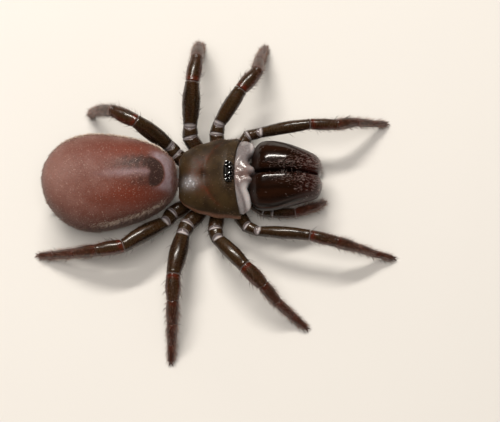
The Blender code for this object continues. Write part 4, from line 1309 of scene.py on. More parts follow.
@dataclass
class FrontFold:
    """The pale folded skin between the back plate and the chelicerae."""

    carapace: Carapace
    half_width: float = 3.85
    front: float = 7.57
    top: float = 5.95
    top_drop: float = 1.5
    bottom: float = 3.3
    set_back: float = 0.3
    # Reach, place across and width of each lobe of the front edge. A reach below 0 makes a dip.
    lobes: tuple[Triple, ...] = ((0.34, 0.4, 0.34), (0.3, -0.6, 0.3), (-0.35, 1.55, 0.6),
                                 (-0.25, -1.5, 0.5), (0.3, 2.9, 0.7), (0.15, -3.0, 0.7))
    rows: int = 200
    columns: int = 96

    def edges(self, side: Array) -> tuple[Array, Array]:
        """Rear and front edge: the front one has small lobes in the middle and large ones towards the ends.

        Args:
            side: place across the head as a share of the half-width, below 0 on the right.

        Returns:
            Their places along the body.
        """
        y = self.half_width * side
        rear = self.carapace.front + self.carapace.corner * np.abs(y / self.carapace.half_width) ** 2.2 - 0.35
        front = self.front + 0.25 - self.set_back * np.clip(0.65 - 2.5 * side, 0.0, 1.0)
        return rear, front + sum(reach * hump(y, place, width) for reach, place, width in self.lobes)

    def band(self) -> Skin:
        """The band without its folds: superellipse sections across the head, rounded off at both ends.

        Returns:
            The skin.
        """
        side = np.sin(np.linspace(-0.5, 0.5, self.rows) * np.pi * 0.97)[:, None]
        angles = ring_angles(self.columns)
        rear, front = self.edges(side)
        top = self.top - self.top_drop * np.abs(side) ** 2.4
        bottom = self.bottom + 0.5 * np.abs(side) ** 2.4
        round_off = np.sqrt(np.clip(1.0 - np.abs(side / side.max()) ** 9, 0.03, 1.0))
        x = (rear + front) / 2.0 + (front - rear) / 2.0 * power_cosine(angles, 2.4) * round_off
        z = (top + bottom) / 2.0 + (top - bottom) / 2.0 * power_sine(angles, 2.6) * round_off
        return Skin(places(x, self.half_width * side, z))

    def build(self) -> None:
        """Makes the band with its lobes and soft folds.

        The left half is a smooth sheet with a round lobe at its outer front corner, the middle is pinker and
        has two small round lobes, and the right half is a leaf-like sheet with one slanting fold.
        """
        skin = self.band()
        x, y = skin.points[..., 0], skin.points[..., 1]
        rear, front = self.edges(y / self.half_width)
        place = (x - rear) / (front - rear)
        ahead = x - 6.25
        end_lobe = hump(y, 2.85, 0.72) * hump(ahead, 1.4, 0.4)
        lobes = 0.8 * hump(y, 0.4, 0.3) * hump(ahead, 1.5, 0.4)
        lobes = lobes + 0.7 * hump(y, -0.6, 0.26) * hump(ahead, 1.25, 0.36)
        beyond = place - 0.42 * np.clip((-y - 0.7) / 2.8, 0.0, 1.0) ** 0.8
        right = smooth(0.7, 1.3, -y)
        leaf = smooth(-0.1, 0.1, beyond - 0.32) * right * (1.0 - smooth(3.2, 3.7, -y))
        notch = hump(beyond, 0.24, 0.09) * right
        free = 1.0 - np.clip(lobes + end_lobe, 0.0, 1.0)
        rays = np.sin(9.0 * np.arctan2(y, x - 5.2) + ripple(skin.points, 2.0, 21)) * hump(y, 0.0, 1.5) * free
        hollow = hump(y, 0.0, 0.7) * hump(ahead, 0.55, 0.35)
        wave = ripple(skin.points * np.array((1.0, 0.35, 1.0)), 0.9, 9)
        relief = 0.2 * (lobes + end_lobe) + 0.1 * leaf - 0.04 * notch + 0.05 * rays
        relief = relief - 0.14 * hollow + 0.03 * wave
        # Painted highlights: near-white on the lobes, their front rims and the rear edge by the eyes, and paler
        # towards the right end.
        rim = 0.8 * end_lobe * smooth(1.2, 1.5, ahead) + 0.75 * leaf * smooth(0.5, 0.9, place) + 0.3 * lobes
        rim = rim + 0.15 * smooth(1.0, 2.4, -y) + 0.25 * hump(place, 0.0, 0.3) * hump(y, 0.3, 1.2)
        skin.marks = {
            "pink": np.clip(0.75 * hump(y, -0.1, 1.1) * (1.0 - 0.7 * lobes), 0.0, 1.0),
            "rim": np.clip(rim, 0.0, 1.0),
            # Painted shade in the notch, the hollow and the troughs between the rays.
            "crease": np.clip(0.45 * notch + 0.6 * hollow + smooth(0.5, 1.0, -rays) * 0.4, 0.0, 1.0),
        }
        skin.points = skin.points + skin.normals() * relief[..., None]
        deliver(skin.dress("front_fold_skin", FoldFinish().material()), "fold", "front_fold")


@dataclass
class Chelicerae:
    """The two long glossy chelicerae, their bristles and the fangs folded under them."""

    base: float = 7.95
    tip: float = 14.85
    outer: float = 3.6
    crest: float = 1.15
    top: float = 6.35
    under: float = 2.35
    axis: float = 0.15
    set_back: float = 0.3
    groove: float = 0.07
    overlap: float = 0.2
    fang_root: Triple = (14.1, 1.05, 1.8)
    fang_reach: float = 5.2
    fang_dip: float = 0.55
    fang_radius: float = 0.42
    rows: int = 150
    columns: int = 96
    bristle_count: int = 520
    seed: int = 37

    def sizes(self, share: Array) -> tuple[Array, Array, Array, Array]:
        """Outer reach, crest offset, top and underside along a chelicera.

        The base swells in over the first quarter, the flank and top taper from a third on, and
        the nose rounds off over the last seventh.

        Args:
            share: place along the chelicera, 0 at its base and 1 at its end.

        Returns:
            The four sizes in millimetres.
        """
        base = swell(share / 0.24, 2.2)
        taper = np.clip(share - 0.3, 0.0, None) / 0.7
        drop = np.clip(share - 0.48, 0.0, None) / 0.52
        nose = np.sqrt(np.clip(1.0 - np.clip(share - 0.86, 0.0, None) ** 2 / 0.14 ** 2, 0.0, 1.0))
        outer = self.outer * (0.8 + 0.2 * base) * (1.0 - 0.44 * taper ** 1.35) * (0.72 + 0.28 * nose)
        crest = self.crest * (1.0 - 0.2 * taper)
        top = self.top - 1.1 * (1.0 - base) - 0.7 * (1.0 - nose)
        top = top + 0.25 * np.minimum(share / 0.48, 1.0) - 1.75 * drop ** 1.8
        under = self.under + 0.5 * (1.0 - base) + 0.15 * taper + 0.5 * (1.0 - nose)
        return outer, crest, top, under

    def skin(self, side: Side) -> Skin:
        """One chelicera: its section is highest at the crest and falls to the outer edge as (1 - q^1.8)^0.55.

        Below and towards the midline the section is a superellipse. Both ends round off as quarter ellipses.

        Args:
            side: which chelicera.

        Returns:
            The skin with the marks distal, line, matt and lie.
        """
        share = cosine_steps(self.rows)[:, None]
        angles = ring_angles(self.columns)
        cos, sin = np.cos(angles), np.sin(angles)
        outer, crest, top, under = self.sizes(share)
        back = 0.0 if side is Side.LEFT else self.set_back
        ends = np.sqrt(swell(share / 0.15)) * 0.5 + 0.5
        ends = ends * (np.sqrt(swell((1.0 - share) / 0.07)) * 0.85 + 0.15)
        outward = cos >= 0.0
        reach = np.where(outward, outer - crest, crest - self.groove) * ends
        fall = np.clip(1.0 - np.clip(cos, 0.0, 1.0) ** 1.8, 0.0, 1.0) ** 0.55
        above = np.where(outward, fall, power_sine(angles, 4.6))
        upward = np.where(sin >= 0.0, above, power_sine(angles, 2.3))
        below = np.where(sin >= 0.0, cos, power_cosine(angles, 2.1))
        across = crest + reach * np.where(outward, below, power_cosine(angles, 4.6))
        z = (top + under) / 2.0 + (top - under) / 2.0 * upward * ends
        start = self.base - self.overlap
        x = start - back * (1.0 - share) + (self.tip - start) * share
        level = (z - under) / (top - under)
        line = (hump(level, 0.6, 0.02) + 0.5 * hump(level, 0.76, 0.014)) * smooth(0.0, 0.4, cos)
        line = line * smooth(0.05, 0.2, share) * (1.0 - smooth(0.6, 0.85, share))
        matt = smooth(0.45, 0.85, cos) * (1.0 - smooth(0.8, 0.96, level))
        marks = {"distal": smooth(0.55, 0.9, share), "line": line * 0.6,
                 "matt": np.maximum(matt, 1.0 - smooth(0.03, 0.16, share)), "lie": places(across, z, x)}
        return Skin(places(x, self.axis + side.value * across, z), marks)

    def build(self) -> None:
        """Makes both chelicerae with their bristles, and both fangs."""
        rng = np.random.default_rng(self.seed)
        horn = JawFinish().material()
        bristles = HairFinish("chelicera bristles", linear(110, 46, 30), linear(150, 134, 128),
                              linear(206, 194, 188), 0.45, 0.3).material()
        style = HairStyle(length=0.38, thickness=0.034, lift=38.0, uneven=0.6, stray=24.0, curve=0.6)
        for side in Side:
            skin = self.skin(side)
            deliver(skin.dress(f"chelicera_{side.word}_horn", horn), "chelicera", f"chelicera_{side.word}")
            x, y, z = np.moveaxis(skin.points, -1, 0)
            share = (x - self.base) / (self.tip - self.base)
            inward = (y - self.axis) * side.value
            comb = smooth(0.42, 0.74, share) * (1.0 - smooth(1.5, 2.6, inward)) * smooth(3.4, 4.2, z)
            tufts = np.clip(0.5 + 0.8 * ripple(skin.points, 0.8, 41), 0.05, 1.2)
            comb = comb * smooth(0.3, 0.6, inward) * tufts
            cleft = 0.9 * hump(inward, 0.75, 0.35) * smooth(4.6, 5.4, z) * smooth(0.05, 0.4, share)
            flank = 0.12 * smooth(2.4, 3.2, inward) * smooth(0.3, 0.6, share) * (1.0 - smooth(3.6, 4.6, z))
            rows, columns = skin.scatter(comb + cleft + flank + 0.008, self.bristle_count, rng)
            coat = grow_hairs(f"chelicera_{side.word}_bristles", skin, rows, columns, style, bristles, rng)
            deliver(coat, "chelicera")
            self.build_fang(side)

    def build_fang(self, side: Side) -> None:
        """Makes one fang: a tapered tube that dips from the chelicera's end and folds back under it.

        Args:
            side: which fang.
        """
        share = cosine_steps(90)
        dip = np.sin(np.pi * np.minimum(share * 1.15, 1.0))
        ahead, out, height = self.fang_root
        centres = places(ahead - self.fang_reach * share, self.axis + side.value * (out - 0.25 * share),
                         height - self.fang_dip * dip + 0.15 * share)
        radii = self.fang_radius * (1.0 - 0.85 * share ** 1.6) * np.sqrt(np.clip(share / 0.05, 0.15, 1.0))
        skin = Skin(tube_points(centres, unit(np.gradient(centres, axis=0)), radii, 36),
                    {"distal": smooth(0.4, 1.0, share)[:, None]})
        name = f"fang_{side.word}"
        deliver(skin.dress(name + "_horn", ClawFinish("fang horn " + side.word).material()), "fang", name)


@dataclass(frozen=True)
class Joint:
    """Soft joint on a limb: its half-lengths above and below, depth, collar height and shift along the limb.

    pale and ring say how much of the pale skin, with its painted highlight, and of the red ring it shows.
    """

    above: float
    below: float
    depth: float
    collar: float = 0.02
    pale: float = 0.0
    ring: float = 0.0
    shift: float = 0.0


@dataclass(frozen=True)
class LimbFinishes:
    """Finishes that all limbs share."""

    horn: Material
    fine: Material
    stout: Material
    claw: Material


@dataclass
class Limb:
    """A jointed limb as one skin along a path of segments, with hairs that grow denser to its end.

    radii has the half-thickness at each joint, bulges and bows the extra of each segment at its middle,
    and shag the density of hair on each segment.
    """

    name: str
    points: Array
    bends: Array
    radii: Row
    bulges: Row
    bows: Row
    joints: dict[int, Joint]
    shag: Row
    bare_until: int
    segment_rows: int = 34
    columns: int = 60
    end_round: float = 0.3
    knee_red: float = 0.6

    def rings(self) -> tuple[Array, Array, Array, Array]:
        """The path with its ring planes, half-thickness and segment place.

        Each segment runs straight between two joints with a sine bow upwards, its ring planes turn
        evenly from one joint's plane to the next, and its half-thickness is a straight line plus a sine.

        Returns:
            Centres, normals, half-thicknesses and segment place (segment number plus share) of the rows.
        """
        segments = np.arange(len(self.points) - 1)[:, None]
        share = cosine_steps(self.segment_rows)[None, :-1]
        start, end = self.points[:-1, None], self.points[1:, None]
        arch = np.sin(np.pi * share)
        centres = start + (end - start) * share[..., None]
        centres[..., 2] += np.array(self.bows)[:, None] * arch
        turning = self.bends[:-1, None] * (1.0 - share[..., None]) + self.bends[1:, None] * share[..., None]
        radii = np.array(self.radii)
        thick = radii[:-1, None] * (1.0 - share) + radii[1:, None] * share
        thick = thick + np.array(self.bulges)[:, None] * arch
        return (np.concatenate((centres.reshape(-1, 3), self.points[-1:])),
                np.concatenate((unit(turning).reshape(-1, 3), self.bends[-1:])),
                np.concatenate((thick.ravel(), radii[-1:])),
                np.concatenate(((segments + share).ravel(), [len(segments)])))

    def skin(self) -> Skin:
        """The limb's skin, pinched at the joints, with each segment's far rim a little flared.

        Returns:
            The skin with the marks membrane, ring, gleam, distal, lie and shag.
        """
        centres, normals, thick, place = self.rings()
        steps = np.linalg.norm(np.diff(centres, axis=0), axis=1)
        arc = np.concatenate(([0.0], np.cumsum(steps)))
        angles = ring_angles(self.columns)
        over = np.clip((np.sin(angles) - 0.2) / 0.8, 0.0, 1.0)[None]
        radii = thick[:, None] * np.ones(self.columns)
        membrane, ring, gleam = np.zeros((3, *radii.shape))
        for number, joint in self.joints.items():
            along = arc[:, None] - arc[np.searchsorted(place, number)] - joint.shift
            reach = joint.below + (joint.above - joint.below) * over
            near = np.abs(along) / reach
            radii -= joint.depth * (1.0 - smooth(0.5, 1.1, near)) * (0.6 + 0.4 * over)
            radii += joint.collar * (hump(along, -reach - 0.08, 0.09) + 0.6 * hump(along, reach + 0.08, 0.1))
            pale = joint.pale * (1.0 - smooth(0.66, 1.02, near)) * smooth(0.0, 0.3, over)
            membrane = np.maximum(membrane, pale)
            # Painted highlight on top of each pale joint.
            bright = joint.pale * hump(along, 0.3 * reach, 0.4 * reach) * smooth(0.1, 0.6, over)
            gleam = np.maximum(gleam, bright)
            ring = np.maximum(ring, joint.ring * hump(along, reach + 0.2, 0.24))
        kneecap = hump(place, 3.5, 0.45)[:, None] * smooth(0.45, 0.9, np.abs(np.cos(angles)))[None]
        ring = np.maximum(ring, self.knee_red * kneecap)
        left = (arc[-1] - arc)[:, None]
        radii *= np.sqrt(np.clip(swell(left / self.end_round), 0.04, 1.0))
        grid = tube_points(centres, normals, radii, self.columns)
        grid = grid + unit(grid - centres[:, None]) * (0.012 * ripple(grid, 1.1, len(self.name)))[..., None]
        grid[..., 2] = np.maximum(grid[..., 2], 0.0)
        shag = np.interp(place, np.arange(len(self.shag)) + 0.5, self.shag)[:, None] * (1.0 - 0.9 * membrane)
        lie = places(np.cos(angles) * thick[:, None], np.sin(angles) * thick[:, None], arc[:, None])
        return Skin(grid, {"membrane": membrane, "ring": np.clip(ring, 0.0, 1.0),
                           "gleam": np.clip(gleam, 0.0, 1.0), "lie": lie, "shag": shag,
                           "distal": smooth(self.bare_until, self.bare_until + 2.4, place)[:, None]})

    def build(self, finishes: LimbFinishes, hairs: int, bristles: int, nodes: tuple[str, ...],
              rng: Random) -> None:
        """Makes the limb's skin, its fine hairs and its stout bristles.

        Args:
            finishes: finishes that all limbs share.
            hairs: count of fine hairs.
            bristles: count of stout bristles.
            nodes: CAD nodes that the skin stands for.
            rng: source of the random draws.
        """
        skin = self.skin()
        deliver(skin.dress(self.name + "_skin", finishes.horn), "limb", *nodes)
        shag = skin.marks["shag"]
        cover = shag * (0.1 + hump(skin.normals()[..., 2], 0.05, 0.4))
        rows, columns = skin.scatter(cover * (skin.points[..., 2] > 0.02), hairs, rng)
        share = np.clip(skin.read(shag, rows, columns), 0.0, 1.0)
        style = HairStyle(length=0.55, thickness=0.026, lift=44.0, uneven=0.65, stray=22.0)
        coat = grow_hairs(self.name + "_hairs", skin, rows, columns, style, finishes.fine, rng,
                          lengths=0.45 + 0.55 * share)
        deliver(coat, "foot")
        low = smooth(-0.2, 0.6, -skin.normals()[..., 2]) + 0.35
        rows, columns = skin.scatter(np.clip(shag, 0.12, 1.0) * low, bristles, rng)
        style = HairStyle(length=0.85, thickness=0.045, lift=42.0, uneven=0.4, stray=10.0, curve=0.4)
        coat = grow_hairs(self.name + "_bristles", skin, rows, columns, style, finishes.stout, rng)
        deliver(coat, "foot")

    def build_claws(self, finishes: LimbFinishes, splays: Row, reach: float) -> None:
        """Makes the curved claws at the limb's end as one piece each.

        Args:
            finishes: finishes that all limbs share.
            splays: turn of each claw from the last segment's heading, in radians.
            reach: length of a claw on the floor plan.
        """
        heading = np.arctan2(self.bends[-1][1], self.bends[-1][0])
        root = self.points[-1] - np.array((0.12 * np.cos(heading), 0.12 * np.sin(heading), -0.03))
        share = np.linspace(0.0, 1.0, 30)
        for number, splay in enumerate(splays, 1):
            way = np.array((np.cos(heading + splay), np.sin(heading + splay), 0.0))
            lift = 0.12 * np.sin(np.pi * share) - 0.12 * share ** 2
            centres = root + way * (reach * share)[:, None] + UP * lift[:, None]
            radii = 0.1 * (1.0 - 0.9 * share ** 1.3)
            grid = tube_points(centres, unit(np.gradient(centres, axis=0)), radii, 18)
            grid[..., 2] = np.maximum(grid[..., 2], 0.0)
            skin = Skin(grid, {"distal": share[:, None]})
            deliver(skin.dress(f"{self.name}_claw_{number}", finishes.claw), "foot")


def joint_points(start: Array, lengths: Row, headings: Row,
                 heights: Row) -> Array:
    """Joint places along a limb: each step has its own length, heading and far-end height.

    Args:
        start: place of the first joint.
        lengths: length of each segment.
        headings: degrees from +X towards +Y of each segment.
        heights: height of each segment's far end.

    Returns:
        (segments + 1, 3) places.
    """
    points = [np.array(start, float)]
    for length, heading, height in zip(lengths, headings, heights):
        rise = height - points[-1][2]
        level = max(length * length - rise * rise, 0.04) ** 0.5
        way = np.radians(heading)
        points.append(points[-1] + np.array((level * np.cos(way), level * np.sin(way), rise)))
    return np.array(points)


def bend_planes(points: Array) -> Array:
    """Plane normals at the joints: the mean direction of the two segments that meet at each."""
    ways = unit(np.diff(points, axis=0))
    return np.concatenate((ways[:1], unit(ways[:-1] + ways[1:]), ways[-1:]))


@dataclass(frozen=True)
class LegBuild:
    """Lengths and half-thicknesses shared by the two legs of one pair."""

    lengths: Row
    radii: Row
    bulges: Row


@dataclass(frozen=True)
class LegPose:
    """Where one leg starts and which way each of its segments runs."""

    pair: int
    side: Side
    hub: tuple[float, float, float]
    knuckle: tuple[float, float, float]
    headings: Row
    heights: Row


# Height of the middle of a tarsus's end over the floor, and how far the thigh arches up in its middle.
PAD = 0.17
FEMUR_BOW = 0.22
LEG_BUILDS = {
    1: LegBuild((1.3, 5.4, 2.6, 2.5, 2.4, 2.3), (0.5, 0.62, 0.5, 0.52, 0.52, 0.42, 0.34, 0.27),
                (0.12, 0.02, 0.12, 0.08, 0.1, 0.04, 0.03)),
    2: LegBuild((1.1, 4.3, 2.6, 2.3, 2.3, 2.1), (0.5, 0.74, 0.62, 0.64, 0.58, 0.48, 0.4, 0.29),
                (0.14, 0.04, 0.16, 0.16, 0.08, 0.04, 0.03)),
    3: LegBuild((1.2, 4.7, 2.6, 2.3, 2.3, 2.0), (0.5, 0.8, 0.68, 0.68, 0.58, 0.5, 0.42, 0.29),
                (0.14, 0.06, 0.26, 0.14, 0.1, 0.06, 0.03)),
    4: LegBuild((1.2, 5.2, 2.6, 2.5, 2.6, 2.0), (0.52, 0.74, 0.64, 0.66, 0.58, 0.48, 0.4, 0.29),
                (0.14, 0.06, 0.2, 0.12, 0.08, 0.05, 0.03)),
}
LEG_POSES = (
    LegPose(1, Side.LEFT, (5.8, 2.15, 1.95), (7.4, 4.95, 2.65),
            (8, 4, 0, 20, 14, 16), (3.1, 4.8, 4.6, 3.3, 1.7, PAD)),
    LegPose(1, Side.RIGHT, (5.8, -2.15, 1.95), (7.3, -4.7, 2.65),
            (-30, -8, -13, -8, -6, -6), (3.1, 4.2, 4.0, 2.8, 1.3, PAD)),
    LegPose(2, Side.LEFT, (4.45, 2.35, 1.95), (4.2, 5.1, 2.65),
            (76, 53, 51, 82, 78, 75), (3.1, 5.2, 5.0, 3.5, 1.8, PAD)),
    LegPose(2, Side.RIGHT, (4.45, -2.35, 1.95), (4.1, -5.05, 2.65),
            (-76, -49, -45, -46, -35, -37), (3.0, 4.1, 3.7, 2.5, 1.1, PAD)),
    LegPose(3, Side.LEFT, (3.1, 2.35, 1.95), (1.5, 4.75, 2.65),
            (90, 86, 81, 86, 87, 84), (3.2, 5.9, 5.7, 4.1, 2.1, PAD)),
    LegPose(3, Side.RIGHT, (3.15, -2.35, 1.95), (1.3, -4.55, 2.65),
            (-111, -101, -91, -92, -93, -93), (3.1, 4.1, 3.9, 2.7, 1.2, PAD)),
    LegPose(4, Side.LEFT, (1.55, 1.95, 1.9), (0.1, 3.0, 2.4),
            (133, 158, 151, 150, 146, 144), (2.9, 6.8, 6.3, 4.4, 2.05, PAD)),
    LegPose(4, Side.RIGHT, (1.55, -1.95, 1.9), (-0.25, -3.24, 2.33),
            (-122, -146, -172, 180, 176, 173), (2.7, 3.8, 3.6, 2.5, 1.15, PAD)),
)
LEG_NODES = ("coxa", "femur", "shank", "foot")
LEG_JOINTS = {
    1: Joint(above=0.24, below=0.05, depth=0.1, collar=0.02, pale=0.9, shift=0.1),
    2: Joint(above=0.38, below=0.05, depth=0.12, collar=0.02, pale=1.0, shift=0.12),
    3: Joint(above=0.07, below=0.07, depth=0.08, collar=0.05, pale=0.25, ring=1.0),
    4: Joint(above=0.05, below=0.06, depth=0.05, collar=0.03, ring=0.5),
    5: Joint(above=0.06, below=0.07, depth=0.06, collar=0.03, ring=0.5),
    6: Joint(above=0.05, below=0.06, depth=0.04, collar=0.02, ring=0.4),
}


@dataclass
class Legs:
    """The eight legs, each one skin from coxa to tarsus, with hairs, bristles and two claws."""

    finishes: LimbFinishes
    shag: Row = (0.12, 0.1, 0.14, 0.5, 0.8, 0.9, 1.0)
    hair_count: int = 1200
    bristle_count: int = 220
    claw_reach: float = 0.58
    claw_splays: Row = (-0.42, 0.42)
    seed: int = 51

    def build(self) -> None:
        """Makes the legs in the order of their poses."""
        for number, pose in enumerate(LEG_POSES):
            rng = np.random.default_rng(self.seed + number)
            build = LEG_BUILDS[pose.pair]
            chain = joint_points(np.array(pose.knuckle), build.lengths, pose.headings, pose.heights)
            points = np.concatenate((np.array([pose.hub]), chain))
            name = f"leg_{pose.pair}_{pose.side.word}"
            limb = Limb(name, points, bend_planes(points), build.radii, build.bulges,
                        (0.0, 0.0, FEMUR_BOW, 0.0, 0.0, 0.0, 0.0), LEG_JOINTS, self.shag, bare_until=3)
            limb.build(self.finishes, self.hair_count, self.bristle_count,
                       tuple(f"{name}_{part}" for part in LEG_NODES), rng)
            limb.build_claws(self.finishes, self.claw_splays, self.claw_reach)


PALP_NODES = ("base", "femur", "end")
PALP_JOINTS = {
    1: Joint(above=0.1, below=0.05, depth=0.05, pale=0.8),
    2: Joint(above=0.16, below=0.05, depth=0.06, pale=0.8),
    3: Joint(above=0.06, below=0.06, depth=0.05, collar=0.03, pale=0.3, ring=0.7),
    4: Joint(above=0.05, below=0.06, depth=0.04, ring=0.4),
    5: Joint(above=0.05, below=0.06, depth=0.04, ring=0.4),
}


@dataclass
class Palps:
    """The two short palps beside the chelicerae, each one skin from its broad base to its claw.

    left and right give the heading in degrees and the far-end height of each segment behind the elbow.
    """

    finishes: LimbFinishes
    base: Triple = (6.95, 1.0, 1.6)
    elbow: Triple = (9.1, 2.8, 1.6)
    lengths: Row = (0.9, 2.3, 1.1, 1.2, 1.5)
    left: tuple[Pair, ...] = ((19.0, 1.85), (0.0, 2.15), (-15.0, 2.42), (-25.0, 1.55),
                                             (-35.0, 0.42))
    right: tuple[Pair, ...] = ((19.0, 1.85), (0.0, 2.15), (-17.0, 2.25), (-24.0, 1.85),
                                              (-36.0, 0.95))
    radii: Row = (0.62, 0.55, 0.41, 0.42, 0.42, 0.38, 0.26)
    bulges: Row = (0.1, 0.02, 0.1, 0.05, 0.04, 0.02)
    bows: Row = (0.0, 0.0, 0.06, 0.0, 0.0, 0.0)
    shag: Row = (0.35, 0.4, 0.5, 0.7, 1.0, 1.1)
    segment_rows: int = 28
    hair_count: int = 900
    bristle_count: int = 80
    claw_reach: float = 0.42
    seed: int = 71

    def build(self) -> None:
        """Makes both palps."""
        for side in Side:
            rng = np.random.default_rng(self.seed + side.value)
            turns, heights = zip(*(self.left if side is Side.LEFT else self.right))
            headings = tuple(angle * side.value for angle in turns)
            chain = joint_points(np.array(self.elbow) * side.mirror, self.lengths, headings, heights)
            points = np.concatenate(((np.array(self.base) * side.mirror)[None], chain))
            name = f"palp_{side.word}"
            limb = Limb(name, points, bend_planes(points), self.radii, self.bulges, self.bows, PALP_JOINTS,
                        self.shag, bare_until=2, segment_rows=self.segment_rows)
            limb.build(self.finishes, self.hair_count, self.bristle_count,
                       tuple(f"{name}_{part}" for part in PALP_NODES), rng)
            limb.build_claws(self.finishes, (0.0,), self.claw_reach)


@dataclass
class Underside:
    """The breast plate between the coxae, with the lip at its front."""

    rear: float = STERNUM_REAR
    front: float = 6.6
    half_width: float = 1.95
    bottom: float = 1.1
    top: float = 2.95
    lip_share: float = 0.8
    rows: int = 110
    columns: int = 80
    spots: Triple = (2.1, 3.3, 4.5)
    hair_count: int = 900
    place_seed: int = 83
    hair_seed: int = 84

    def build(self, finishes: LimbFinishes) -> None:
        """Makes the plate: superellipse sections that widen by a sine and narrow at the lip, and its hairs.

        Args:
            finishes: finishes that all limbs share.
        """
        share = cosine_steps(self.rows)[:, None]
        angles = ring_angles(self.columns)
        half = self.half_width * (0.5 + 0.5 * np.sin(np.pi * np.minimum(share / 0.6, 1.0) * 0.5))
        half = half * (1.0 - 0.72 * np.clip(share - 0.72, 0.0, None) / 0.28)
        ends = np.sqrt(np.clip(swell(share / 0.05), 0.05, 1.0))
        seam = hump(share, self.lip_share, 0.012)
        middle = (self.top + self.bottom) / 2.0
        rise = (self.top - self.bottom) / 2.0 * (1.0 - 0.12 * seam)
        y = half * ends * power_cosine(angles, 3.0) * (1.0 - 0.05 * seam)
        z = middle + rise * power_sine(angles, 3.0) * (0.7 + 0.3 * ends)
        x = self.rear + (self.front - self.rear) * share
        spots = sum(hump(x, spot, 0.16) * hump(np.abs(y), half * 0.72, 0.2) for spot in self.spots)
        grid = places(x, y, np.where(z < middle, z + 0.05 * spots, z))
        marks = HornFinish.marks(grid, distal=0.35, ring=0.7 * np.clip(spots + seam, 0.0, 1.0))
        skin = Skin(grid, marks)
        deliver(skin.dress("sternum_plate", finishes.horn), "limb", "sternum")
        below = (skin.normals()[..., 2] < 0.0).astype(float)
        rows, columns = skin.scatter(below, self.hair_count, np.random.default_rng(self.place_seed))
        style = HairStyle(length=0.4, thickness=0.022, lift=32.0, uneven=0.5)
        rng = np.random.default_rng(self.hair_seed)
        deliver(grow_hairs("sternum_hairs", skin, rows, columns, style, finishes.fine, rng), "limb")


@dataclass(frozen=True)
class SoftLight:
    """One soft area light that faces the spider, in millimetres and watts.

    way is where it stands, seen from the spider, and mirrored says whether glossy surfaces show it.
    """

    name: str
    way: Triple
    distance: float
    size: Pair
    power: float
    tint: Triple
    mirrored: bool = False


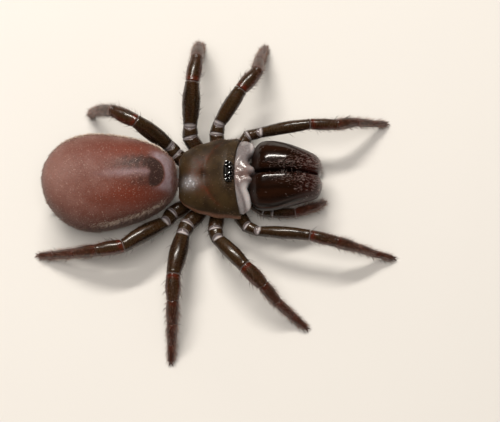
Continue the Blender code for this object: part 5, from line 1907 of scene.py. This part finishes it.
@dataclass
class Studio:
    """Pale floor, soft lights and the photograph's camera."""

    target: Triple = (7.6, -3.461, 4.0)
    distance: float = 187.5
    elevation: float = 73.0
    lens: float = 135.0
    sensor: float = 36.0
    floor_half: float = 900.0
    sky: Colour = (0.7, 0.64, 0.58, 1.0)
    sky_strength: float = 0.2
    nearest: float = 0.005
    farthest: float = 20.0
    light_target: Triple = (5.0, 0.0, 3.0)
    lights: tuple[SoftLight, ...] = (
        SoftLight("key_light", (-0.2, 0.55, 0.85), 260.0, (165.0, 26.0), 0.55, (1.0, 0.95, 0.88), True),
        SoftLight("top_light", (-0.1, -0.12, 1.0), 320.0, (260.0, 200.0), 0.62, (1.0, 0.95, 0.9)),
        SoftLight("fill_light", (0.25, -1.0, 0.3), 420.0, (520.0, 240.0), 0.14, (1.0, 0.96, 0.92)),
        SoftLight("rim_light", (-0.7, 0.8, 0.25), 420.0, (480.0, 220.0), 0.12, (1.0, 0.96, 0.92)),
    )

    def place(self, point: Array) -> Vector:
        """A place of the spider's own frame in metres of the row frame."""
        return Vector((np.array(point) + ORIGIN) * MM)

    def build_camera(self) -> None:
        """Sets the camera on its line of sight, with the sensor across the picture's longer side."""
        angle = np.radians(self.elevation)
        sight = np.array((0.0, np.cos(angle), -np.sin(angle)))
        data = bpy.data.cameras.new("photo camera")
        data.lens = self.lens
        data.sensor_width = self.sensor
        data.sensor_fit = "HORIZONTAL" if PHOTO_WIDTH > PHOTO_HEIGHT else "VERTICAL"
        data.clip_start = self.nearest
        data.clip_end = self.farthest
        camera = bpy.data.objects.new("photo_camera", data)
        camera.location = self.place(np.array(self.target) - sight * self.distance)
        camera.rotation_euler = Vector(sight).to_track_quat("-Z", "Y").to_euler()
        bpy.context.scene.collection.objects.link(camera)
        bpy.context.scene.camera = camera

    def build_light(self, light: SoftLight) -> None:
        """Sets one area light that faces the spider.

        Args:
            light: where it stands, and its size, power and tint.
        """
        data = bpy.data.lights.new(light.name, "AREA")
        data.shape = "ELLIPSE"
        data.size, data.size_y = light.size[0] * MM, light.size[1] * MM
        data.energy = light.power
        data.color = light.tint
        way = unit(np.array(light.way))
        lamp = bpy.data.objects.new(light.name, data)
        lamp.location = self.place(np.array(self.light_target) + way * light.distance)
        lamp.rotation_euler = Vector(-way).to_track_quat("-Z", "Y").to_euler()
        lamp.visible_glossy = light.mirrored
        bpy.context.scene.collection.objects.link(lamp)

    def build(self) -> None:
        """Makes floor, sky, lights and camera."""
        ends = np.array(((-1, -1), (1, -1), (1, 1), (-1, 1))) * self.floor_half
        corners = places(ends[:, 0], ends[:, 1], 0.0)
        floor = mesh_object("studio_floor", corners, [np.arange(4)[None]], StudioFinish().material())
        world = bpy.data.worlds.new("studio sky")
        world.use_nodes = True
        ground = world.node_tree.nodes["Background"]
        ground.inputs["Color"].default_value = self.sky
        ground.inputs["Strength"].default_value = self.sky_strength
        world.cycles_visibility.glossy = False
        bpy.context.scene.world = world
        bpy.context.scene.view_settings.view_transform = "Standard"
        for light in self.lights:
            self.build_light(light)
        self.build_camera()


def limb_finishes() -> LimbFinishes:
    """Makes the finishes that all limbs share.

    Returns:
        Horn of the skins, fine and stout hair, and horn of the claws.
    """
    fine = HairFinish("limb hair", linear(104, 54, 38), linear(148, 104, 84), linear(190, 152, 130), 0.45)
    stout = HairFinish("limb bristles", linear(34, 20, 14), linear(60, 34, 22), linear(110, 76, 56))
    return LimbFinishes(HornFinish().material(), fine.material(), stout.material(),
                        ClawFinish("claw horn").material())


def main() -> None:
    """Builds the studio and every sub-assembly in order."""
    logging.basicConfig(level=logging.INFO, format="%(name)s %(message)s")
    Studio().build()
    carapace = Carapace()
    Abdomen().build()
    carapace.build()
    EyeGroup(carapace).build()
    FrontFold(carapace).build()
    Chelicerae().build()
    finishes = limb_finishes()
    Underside().build(finishes)
    Palps(finishes).build()
    Legs(finishes).build()


if __name__ == "__main__":
    main()
